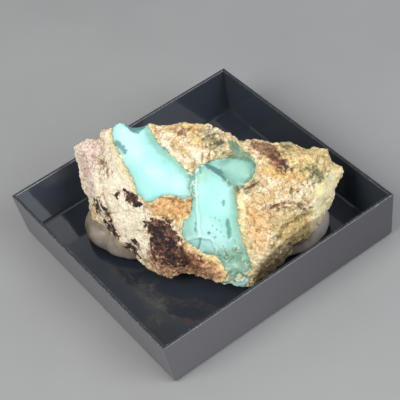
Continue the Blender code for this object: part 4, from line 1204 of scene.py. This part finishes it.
def bake_modifiers(obj):
    """Make the object's mesh what its modifiers make of it"""
    bpy.context.view_layer.update()
    graph = bpy.context.evaluated_depsgraph_get()
    mesh = bpy.data.meshes.new_from_object(obj.evaluated_get(graph))
    obj.modifiers.clear()
    obj.data = mesh


def even_skin(obj, square):
    """Remake the object's surface as one closed skin of small squares"""
    remesh = obj.modifiers.new("even skin", 'REMESH')
    remesh.mode = 'VOXEL'
    remesh.voxel_size = square
    bake_modifiers(obj)


def from_face(across, up, toward):
    """Millimetre place of a point drawn on the front face"""
    shrink = 1.0 - toward / EYE_DISTANCE
    return FACE_ORIGIN + across * shrink * ACROSS + up * shrink * UP + toward * TOWARD


def from_diagonal(along, aside, height):
    """Millimetre place of a point given along and aside of the tray's diagonal"""
    half = math.sqrt(0.5)
    return Vector(((along + aside) * half, (along - aside) * half, height))


def shell_faces(bm, rim, inner, folds, facing):
    """Cover the space inside the rim with triangles through the inner places, along the folds"""
    seen, _ = face_view(np.array([vert.co for vert in rim + inner]))
    edges = [(i, (i + 1) % len(rim)) for i in range(len(rim))] + folds
    _, _, faces, sources, _, _ = delaunay_2d_cdt([Vector(spot) for spot in seen], edges, [], 1, 1e-6)
    verts = rim + inner
    for face in faces:
        corners = [verts[sources[i][0]] for i in face]
        if not facing:
            corners.reverse()
        bm.faces.new(corners)


def blocked_stone(bm):
    """The nugget as a few hundred flat facets"""
    rim = [bm.verts.new(from_face(*place)) for place in RIM]
    front = []
    folds = []
    for fold in FRONT_FOLDS.values():
        first = len(rim) + len(front)
        front += [bm.verts.new(from_face(*place)) for place in fold]
        folds += [(first + i, first + i + 1) for i in range(len(fold) - 1)]
    front += [bm.verts.new(from_face(*place)) for place in FRONT_PLACES]
    back = [bm.verts.new(from_diagonal(*place)) for place in BACK_PLACES]
    shell_faces(bm, rim, front, folds, True)
    shell_faces(bm, rim, back, [], False)


def stain_depths(places, spots, front):
    """Depth inside each colour's outlines in front, and inside scattered patches behind"""
    depths = {}
    for number, (name, outlines) in enumerate(STAINS.items()):
        seen = np.max([inside_depth(spots, REGIONS[outline]) for outline in outlines], axis=0)
        if name == "vein":
            wobble = BACK_VEIN_WOBBLE * noise_field(places, BACK_VEIN_WOBBLE_SIZE, (4.1, 2.3, 8.7))
            behind = BACK_VEIN_HALF + wobble - line_distance(spots, BACK_VEIN)
        else:
            size, rarity = BACK_STAINS[name]
            behind = size * (noise_field(places, size, (number * 3.7, 1.9, 5.1)) - rarity)
        behind = np.clip(behind, -BACK_DEPTH_LIMIT, BACK_DEPTH_LIMIT)
        depths[name] = front * seen + (1.0 - front) * behind
    return depths


def broken_rock(places, spots, facing, depths, front):
    """How far each vertex of the nugget's skin is pushed out, in millimetres"""
    coarse = np.zeros(len(places))
    for size, amount in ROCK_LUMPS:
        coarse += amount * noise_field(places, size)
    for size, slope in ROCK_CHIPS:
        coarse += chip_fields(places, size, slope)[0]
    plain = inside_depth(spots, VEIN_OUTLINE)
    rock = np.where(facing < 0.0, 1.0, np.clip(0.5 - plain / VEIN_EDGE, 0.0, 1.0))
    rough = 1.0 + (FRONT_ROUGHNESS - 1.0) * np.clip(1.0 + 2.0 * facing, 0.0, 1.0)
    lumps = VEIN_LUMP_HEIGHT * noise_field(places, VEIN_LUMP_SIZE)
    height = rock * rough * coarse + (1.0 - rock) * lumps
    bare = smooth_step(-depths["vein"], -0.1, 0.3)
    calm = 1.0 - CREAM_CALM * smooth_step(depths["cream"], -0.4, 0.4)
    calm -= OLIVE_CALM * smooth_step(depths["olive"], -1.0, 1.0)
    for size, amount in GRAINS:
        height += bare * calm * amount * noise_field(places, size, (9.3, 1.7, 4.9))
    for size, slope in FINE_CHIPS:
        height += bare * calm * chip_fields(places + 3.3, size, slope)[0]
    plate_height, border = chip_fields(places + 7.7, PLATE_SIZE, PLATE_SLOPE)
    broken = smooth_step(noise_field(places, BROKEN_AREA_SIZE, (2.2, 6.6, 1.1)), -0.15, 0.2)
    crevice = PLATE_CREVICE * np.exp(-(border / PLATE_CREVICE_WIDTH) ** 2)
    height += bare * calm * broken * (plate_height - crevice)
    groove = smooth_step(noise_field(places, GROOVE_LENGTH, (5.5, 0.4, 3.3)), -0.2, 0.3)
    height -= GROOVE_DEPTH * groove * np.exp(-(depths["vein"] / GROOVE_WIDTH) ** 2)
    crumbs = CRUMB_HEIGHT * noise_field(places, CRUMB_SIZE, (3.1, 8.2, 0.9))
    height += front * crushed_vein(spots) * (1.0 - bare) * crumbs
    fractured = front * smooth_step(depths["vein_moss"], -0.4, 0.4) * (1.0 - bare)
    height += fractured * chip_fields(places + 1.1, VEIN_CHIP_SIZE, VEIN_CHIP_SLOPE)[0]
    for line, amount, width in MARKS:
        height += front * amount * np.exp(-(line_distance(spots, line) / width) ** 2)
    return height


def streak_field(spots):
    """Noise drawn out into streaks that rise to the right"""
    along = spots @ np.array((math.cos(STREAK_LEAN), math.sin(STREAK_LEAN)))
    aside = spots @ np.array((-math.sin(STREAK_LEAN), math.cos(STREAK_LEAN)))
    drawn = np.stack([along / STREAK_LENGTH, aside / STREAK_WIDTH, np.zeros(len(spots))], axis=1)
    return noise_field(drawn, 1.0)


def drawn_lines(spots):
    """How near each spot is to a raised line, from 0 to 1, or to a crack, from 0 to -1"""
    flat = np.column_stack([spots, np.zeros(len(spots))])
    shifts = ((0.0, 3.1, 7.7), (40.0, 3.1, 7.7))
    wander = np.stack([noise_field(flat, LINE_WANDER_LENGTH, shift) for shift in shifts], axis=1)
    spots = spots + LINE_WANDER * wander
    raised = np.zeros(len(spots))
    cracked = np.zeros(len(spots))
    for line, amount, width in MARKS:
        near = np.exp(-(line_distance(spots, line) / width) ** 2)
        if amount > 0.0:
            raised = np.maximum(raised, near * min(1.0, amount / BRIGHT_RIDGE))
        elif width <= CRACK_WIDTH:
            cracked = np.maximum(cracked, near ** 2)
    return raised - cracked


def crushed_vein(spots):
    """Where the turquoise is crushed and full of pale crumbs, from 0 to 1"""
    mask = np.zeros(len(spots))
    for line, width in CRUSHED:
        mask = np.maximum(mask, np.exp(-(line_distance(spots, line) / width) ** 2))
    return mask


def pit_mask(spots, front):
    """How far inside one of the vein's pits each vertex is, from 0 to 1"""
    mask = np.zeros(len(spots))
    for middle, half_width, half_height in PITS:
        reach = np.linalg.norm((spots - np.array(middle)) / np.array((half_width, half_height)), axis=1)
        strength = min(1.0, half_height / FAINT_PIT)
        mask = np.maximum(mask, strength * (1.0 - smooth_step(reach, *PIT_EDGE)))
    return mask * front


def grown_stone(square):
    """The nugget's mesh with its broken surface, and the numbers that its material reads"""
    bm = bmesh.new()
    blocked_stone(bm)
    bmesh.ops.recalc_face_normals(bm, faces=bm.faces)
    stone = add_object("nugget", bm)
    even_skin(stone, square)
    mesh = stone.data
    places, normals = read_skin(mesh)
    spots, _ = face_view(places)
    wide_normals = neighbour_mean(mesh, normals, NORMAL_ROUNDS)
    facing = wide_normals @ np.array(TOWARD)
    front = smooth_step(facing, *FRONT_TURN)
    depths = stain_depths(places, spots, front)
    sharp = np.minimum(line_distance(spots, VEIN_CREST), line_distance(spots, VEIN_NOTCH))
    even = smooth_step(depths["vein"], *SMOOTH_FROM_EDGE) * front * smooth_step(sharp, *SMOOTH_FROM_SHARP)
    places = neighbour_mean(mesh, places, VEIN_SMOOTHING, VEIN_SMOOTHING_SHARE * even[:, None])
    pits = pit_mask(spots, front)
    height = broken_rock(places, spots, facing, depths, front) - PIT_DEPTH * pits
    places += normals * height[:, None]
    level = neighbour_mean(mesh, places, HOLLOW_ROUNDS)
    hollow = ((level - places) * wide_normals).sum(axis=1)
    for name, depth in depths.items():
        keep_values(mesh, name, depth)
    keep_values(mesh, "pit", pits)
    keep_values(mesh, "streaks", streak_field(spots))
    keep_values(mesh, "lines", front * drawn_lines(spots))
    keep_values(mesh, "crushed", front * crushed_vein(spots))
    keep_values(mesh, "hollow", hollow)
    reshape_skin(mesh, places)
    return stone


class NUGGET_OT_stone(bpy.types.Operator):
    """Build the turquoise-veined stone"""
    bl_idname = "nugget.stone"
    bl_label = "Build the stone"

    def execute(self, context):
        looks = context.scene.nugget_stone
        stone = grown_stone(looks.skin_square)
        set_material(stone, stone_material(looks))
        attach(stone, "root")
        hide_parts("turquoise_stone")
        return {'FINISHED'}


def putty_material(looks):
    """Dull grey putty, darker beside the stone, partly dirt and partly painted shade, and painted paler at its
    far end, as painted light
    """
    material, wires, shader = new_material("grey putty")
    cloud = wires.noise(4.0, 4.0, 0.55)
    colour = wires.two_tone(cloud, 0.35, 0.7, looks.colour, looks.crease_colour)
    far_end = wires.node('ShaderNodeSeparateXYZ', {"Vector": wires.object_places()}).outputs["Y"]
    # Painted light: paler towards +Y
    colour = wires.mix(wires.ramp(far_end, 0.0, PUTTY_PAINTED_LIGHT_END * MM), colour, looks.painted_light_colour)
    # Beside the stone the putty is darker, partly dirt, partly painted shade under the stone
    dirt = wires.ramp(wires.noise(1.4, 4.0, 0.65), 0.34, 0.62, 0.25, 1.0)
    colour = wires.mix(wires.times(wires.attribute("near_stone"), dirt), colour, looks.crease_colour)
    colour = wires.mix(wires.times(specks(wires, 0.35, 0.16), 0.5), colour, tone("putty speck"))
    wires.feed(shader.inputs["Base Color"], colour)
    roughness = wires.ramp(cloud, 0.3, 0.7, looks.roughness - 0.1, looks.roughness + 0.1)
    wires.feed(shader.inputs["Roughness"], roughness)
    height = wires.maths('MULTIPLY_ADD', wires.noise(0.3, 3.0, 0.6), 0.3, wires.noise(1.6, 3.0, 0.5))
    bump = wires.node('ShaderNodeBump', {"Height": height, "Distance": 0.00018, "Strength": 0.6})
    wires.feed(shader.inputs["Normal"], bump.outputs["Normal"])
    return material


class NUGGET_OT_putty(bpy.types.Operator):
    """Build the lump of putty that the stone is pressed into"""
    bl_idname = "nugget.putty"
    bl_label = "Build the putty"

    def execute(self, context):
        looks = context.scene.nugget_putty
        sole_height = TRAY_FLOOR + PUTTY_TO_FLOOR
        bm = bmesh.new()
        sole = bm.faces.new([bm.verts.new((x, y, sole_height)) for x, y in PUTTY_OUTLINE])
        lifted = bmesh.ops.extrude_face_region(bm, geom=[sole])["geom"]
        cap = next(piece for piece in lifted if isinstance(piece, bmesh.types.BMFace))
        bmesh.ops.translate(bm, vec=(0.0, 0.0, PUTTY_SIDE_HEIGHT), verts=cap.verts)
        bmesh.ops.recalc_face_normals(bm, faces=bm.faces)
        for inset, rise in PUTTY_RINGS:
            bmesh.ops.inset_region(bm, faces=[cap], thickness=inset, depth=rise)
        putty = add_object("putty", bm)
        rounded = putty.modifiers.new("rounded", 'SUBSURF')
        rounded.levels = rounded.render_levels = 3
        bake_modifiers(putty)
        even_skin(putty, looks.skin_square)
        mesh = putty.data
        places, normals = read_skin(mesh)
        above = np.clip((places[:, 2] - sole_height) / PUTTY_SIDE_HEIGHT, 0.0, 1.0)
        lumps = sum(height * noise_field(places, size) for size, height in PUTTY_LUMPS)
        places += normals * (above * lumps)[:, None]
        skin = BVHTree.FromObject(bpy.data.objects["nugget"], context.evaluated_depsgraph_get())
        gaps = np.array([skin.find_nearest(Vector(place) * MM)[3] for place in places.tolist()]) / MM
        keep_values(mesh, "near_stone", 1.0 - smooth_step(gaps, *PUTTY_DIRT_AND_SHADE))
        reshape_skin(mesh, places)
        set_material(putty, putty_material(looks))
        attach(putty, "root")
        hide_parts("mounting_putty")
        return {'FINISHED'}


def tray_material(looks):
    """Glossy black plastic, with scuffs along the rim, dust and faint smudges; its inner walls are painted
    lighter, its walls and sides brighter at the near end, as painted light, and its rim top is painted darker
    """
    material, wires, shader = new_material("black gloss plastic")
    place = wires.node('ShaderNodeSeparateXYZ', {"Vector": wires.object_places()}).outputs

    def band(value, low, high, first=0.0, last=1.0):
        """Smooth change between two places that are given in millimetres"""
        return wires.ramp(value, low * MM, high * MM, first, last)

    reach = wires.maths('MAXIMUM', wires.maths('ABSOLUTE', place["X"]), wires.maths('ABSOLUTE', place["Y"]))
    rim = band(place["Z"], TRAY_HEIGHT - 0.5, TRAY_HEIGHT - 0.05)
    flat_top = band(place["Z"], TRAY_HEIGHT - 0.1, TRAY_HEIGHT - 0.02)
    outer_edge = band(reach, TRAY_HALF - 0.16, TRAY_HALF - 0.06, 0.0, 0.45)
    inner_edge = band(reach, TRAY_HALF - 0.68, TRAY_HALF - 0.8)
    edges = wires.maths('MULTIPLY_ADD', wires.maths('MAXIMUM', outer_edge, inner_edge), 0.8, 0.2)
    chips = wires.ramp(wires.noise(0.45, 4.0, 0.78), 0.52, 0.60)
    worn = wires.times(wires.times(rim, edges), chips)
    lean = wires.maths('MULTIPLY_ADD', place["Z"], -TRAY_LEAN / TRAY_HEIGHT, TRAY_LEAN * MM)
    outside = band(wires.maths('ADD', reach, lean), TRAY_HALF - 0.5, TRAY_HALF - 0.2)
    outside = wires.times(outside, band(place["Z"], TRAY_HEIGHT - 0.06, TRAY_HEIGHT - 0.22))
    dust = wires.times(specks(wires, 0.30, 0.12), 0.3)
    smear = wires.ramp(wires.noise(2.2, 5.0, 0.7, 1.5), 0.42, 0.72, 0.1, 0.8)
    smudge = 0.0
    for middle, size in SMEARS:
        near = band(wires.distance(middle), size, 0.0)
        smudge = wires.maths('MAXIMUM', smudge, wires.times(near, smear))

    # Painted light: the hazy outer sides are brighter at the near end than the far
    side_painted_light = band(place["Y"], -TRAY_HALF, TRAY_HALF, *SIDE_PAINTED_LIGHT)
    # Painted light: the inner walls are lighter than the floor, and brighter at the near end than the far
    wall_painted_light = band(place["Y"], -TRAY_HALF, TRAY_HALF, *WALL_PAINTED_LIGHT)
    walls_painted_lighter = band(place["Z"], TRAY_FLOOR + 0.2, TRAY_FLOOR + 0.8)
    colour = wires.mix(walls_painted_lighter, looks.colour, wires.mix(1.0, looks.wall_painted_light_colour, wall_painted_light, 'MULTIPLY'))
    colour = wires.mix(outside, colour, wires.mix(1.0, looks.side_colour, side_painted_light, 'MULTIPLY'))
    # Painted reflection: the rim's top is painted darker than the same plastic elsewhere, for the dark it
    # reflects
    colour = wires.mix(wires.times(flat_top, 0.8), colour, tone("painted dark on the rim top"))
    colour = wires.mix(smudge, colour, tone("grease"))
    colour = wires.mix(dust, colour, tone("dust"))
    colour = wires.mix(wires.times(worn, 0.65), colour, looks.scuff_colour)
    wires.feed(shader.inputs["Base Color"], colour)

    roughness = looks.roughness
    for dulled, amount in ((smudge, 0.6), (outside, 0.3), (worn, 0.25), (rim, 0.3)):
        roughness = wires.maths('MULTIPLY_ADD', dulled, amount, roughness)
    wires.feed(shader.inputs["Roughness"], roughness)
    shine = band(wires.distance(SHINY_CORNER), *SHINE_REACH, 0.15, 1.0)
    shine = wires.times(shine, wires.maths('SUBTRACT', 1.0, flat_top))
    wires.feed(shader.inputs["Coat Weight"], wires.times(wires.maths('SUBTRACT', 1.0, outside), shine))
    shader.inputs["Coat Roughness"].default_value = 0.05
    ripple = wires.maths('ADD', wires.noise(6.0, 2.0, 0.5), wires.times(worn, -0.2))
    bump = wires.node('ShaderNodeBump', {"Height": ripple, "Distance": 0.0001, "Strength": 0.25})
    wires.feed(shader.inputs["Normal"], bump.outputs["Normal"])
    return material


class NUGGET_OT_tray(bpy.types.Operator):
    """Give the tray its worn gloss plastic"""
    bl_idname = "nugget.tray"
    bl_label = "Finish the tray"

    def execute(self, context):
        set_material(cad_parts["display_tray"], tray_material(context.scene.nugget_tray))
        return {'FINISHED'}


def add_lamp(name, direction, size, power, tint):
    """A soft square lamp that looks at the nugget"""
    lamp = bpy.data.lights.new(name, 'AREA')
    lamp.shape = 'SQUARE'
    lamp.size = size
    lamp.energy = power
    lamp.color = tint
    obj = bpy.data.objects.new(name, lamp)
    bpy.context.scene.collection.objects.link(obj)
    away = direction.normalized()
    turn = away.to_track_quat('Z', 'Y').to_matrix().to_4x4()
    obj.matrix_world = Matrix.Translation(away * LAMP_DISTANCE) @ turn


class NUGGET_OT_stage(bpy.types.Operator):
    """Add the floor, the lights and the camera"""
    bl_idname = "nugget.stage"
    bl_label = "Set the stage"

    def execute(self, context):
        looks = context.scene.nugget_stage
        scene = context.scene
        bm = bmesh.new()
        bmesh.ops.create_grid(bm, x_segments=1, y_segments=1, size=FLOOR_REACH)
        floor = add_object("floor", bm)
        material, wires, shader = new_material("plain floor")
        mottle = wires.ramp(wires.noise(30.0, 3.0, 0.5), 0.3, 0.7, 0.97, 1.03)
        wires.feed(shader.inputs["Base Color"], wires.mix(1.0, looks.floor_colour, mottle, 'MULTIPLY'))
        shader.inputs["Roughness"].default_value = 0.75
        set_material(floor, material)
        world = bpy.data.worlds.new("studio")
        world.use_nodes = True
        world.node_tree.nodes["Background"].inputs["Color"].default_value = looks.surroundings
        scene.world = world
        level = Vector((ACROSS.x, ACROSS.y, 0.0)).normalized()
        ahead = Vector((TOWARD.x, TOWARD.y, 0.0)).normalized()
        for name, ((across, toward, up), size, tint) in LAMPS.items():
            direction = across * level + toward * ahead + Vector((0.0, 0.0, up))
            add_lamp(name + " lamp", direction, size, getattr(looks, name + "_power"), tint)
        camera = bpy.data.cameras.new("camera")
        camera.sensor_width = SENSOR_WIDTH
        camera.lens = SENSOR_WIDTH * FOCAL_PIXELS / PICTURE_WIDTH
        camera.clip_start = 0.001
        camera.clip_end = 100.0
        obj = bpy.data.objects.new("camera", camera)
        scene.collection.objects.link(obj)
        eye = (FACE_ORIGIN + TOWARD * EYE_DISTANCE) * MM
        turn = Matrix((ACROSS, UP, TOWARD)).transposed()
        obj.matrix_world = Matrix.Translation(eye) @ turn.to_4x4()
        scene.camera = obj
        scene.view_settings.view_transform = 'Standard'
        return {'FINISHED'}


class NUGGET_PT_panel(bpy.types.Panel):
    """Sizes, colours and steps of the nugget"""
    bl_label = "Nugget"
    bl_idname = "NUGGET_PT_panel"
    bl_space_type = 'VIEW_3D'
    bl_region_type = 'UI'
    bl_category = "Nugget"

    def draw(self, context):
        for step, settings in STEPS:
            box = self.layout.box()
            box.operator(step.bl_idname)
            group = getattr(context.scene, settings)
            for name in group.bl_rna.properties.keys():
                if name not in {"rna_type", "name"}:
                    box.prop(group, name)


SETTINGS = {
    "nugget_stone": StoneSettings,
    "nugget_putty": PuttySettings,
    "nugget_tray": TraySettings,
    "nugget_stage": StageSettings,
}
STEPS = [
    (NUGGET_OT_stage, "nugget_stage"),
    (NUGGET_OT_tray, "nugget_tray"),
    (NUGGET_OT_stone, "nugget_stone"),
    (NUGGET_OT_putty, "nugget_putty"),
]


def register():
    for name, settings in SETTINGS.items():
        bpy.utils.register_class(settings)
        setattr(bpy.types.Scene, name, bpy.props.PointerProperty(type=settings))
    for step, _ in STEPS:
        bpy.utils.register_class(step)
    bpy.utils.register_class(NUGGET_PT_panel)


def unregister():
    bpy.utils.unregister_class(NUGGET_PT_panel)
    for step, _ in reversed(STEPS):
        bpy.utils.unregister_class(step)
    for name, settings in reversed(SETTINGS.items()):
        delattr(bpy.types.Scene, name)
        bpy.utils.unregister_class(settings)


def main():
    """Build the dressed part and its stage"""
    register()
    for old in [obj for obj in bpy.data.objects if obj.type in {'CAMERA', 'LIGHT'}]:
        bpy.data.objects.remove(old, do_unlink=True)
    bpy.ops.nugget.stage()
    bpy.ops.nugget.tray()
    bpy.ops.nugget.stone()
    bpy.ops.nugget.putty()


if __name__ == "__main__":
    main()
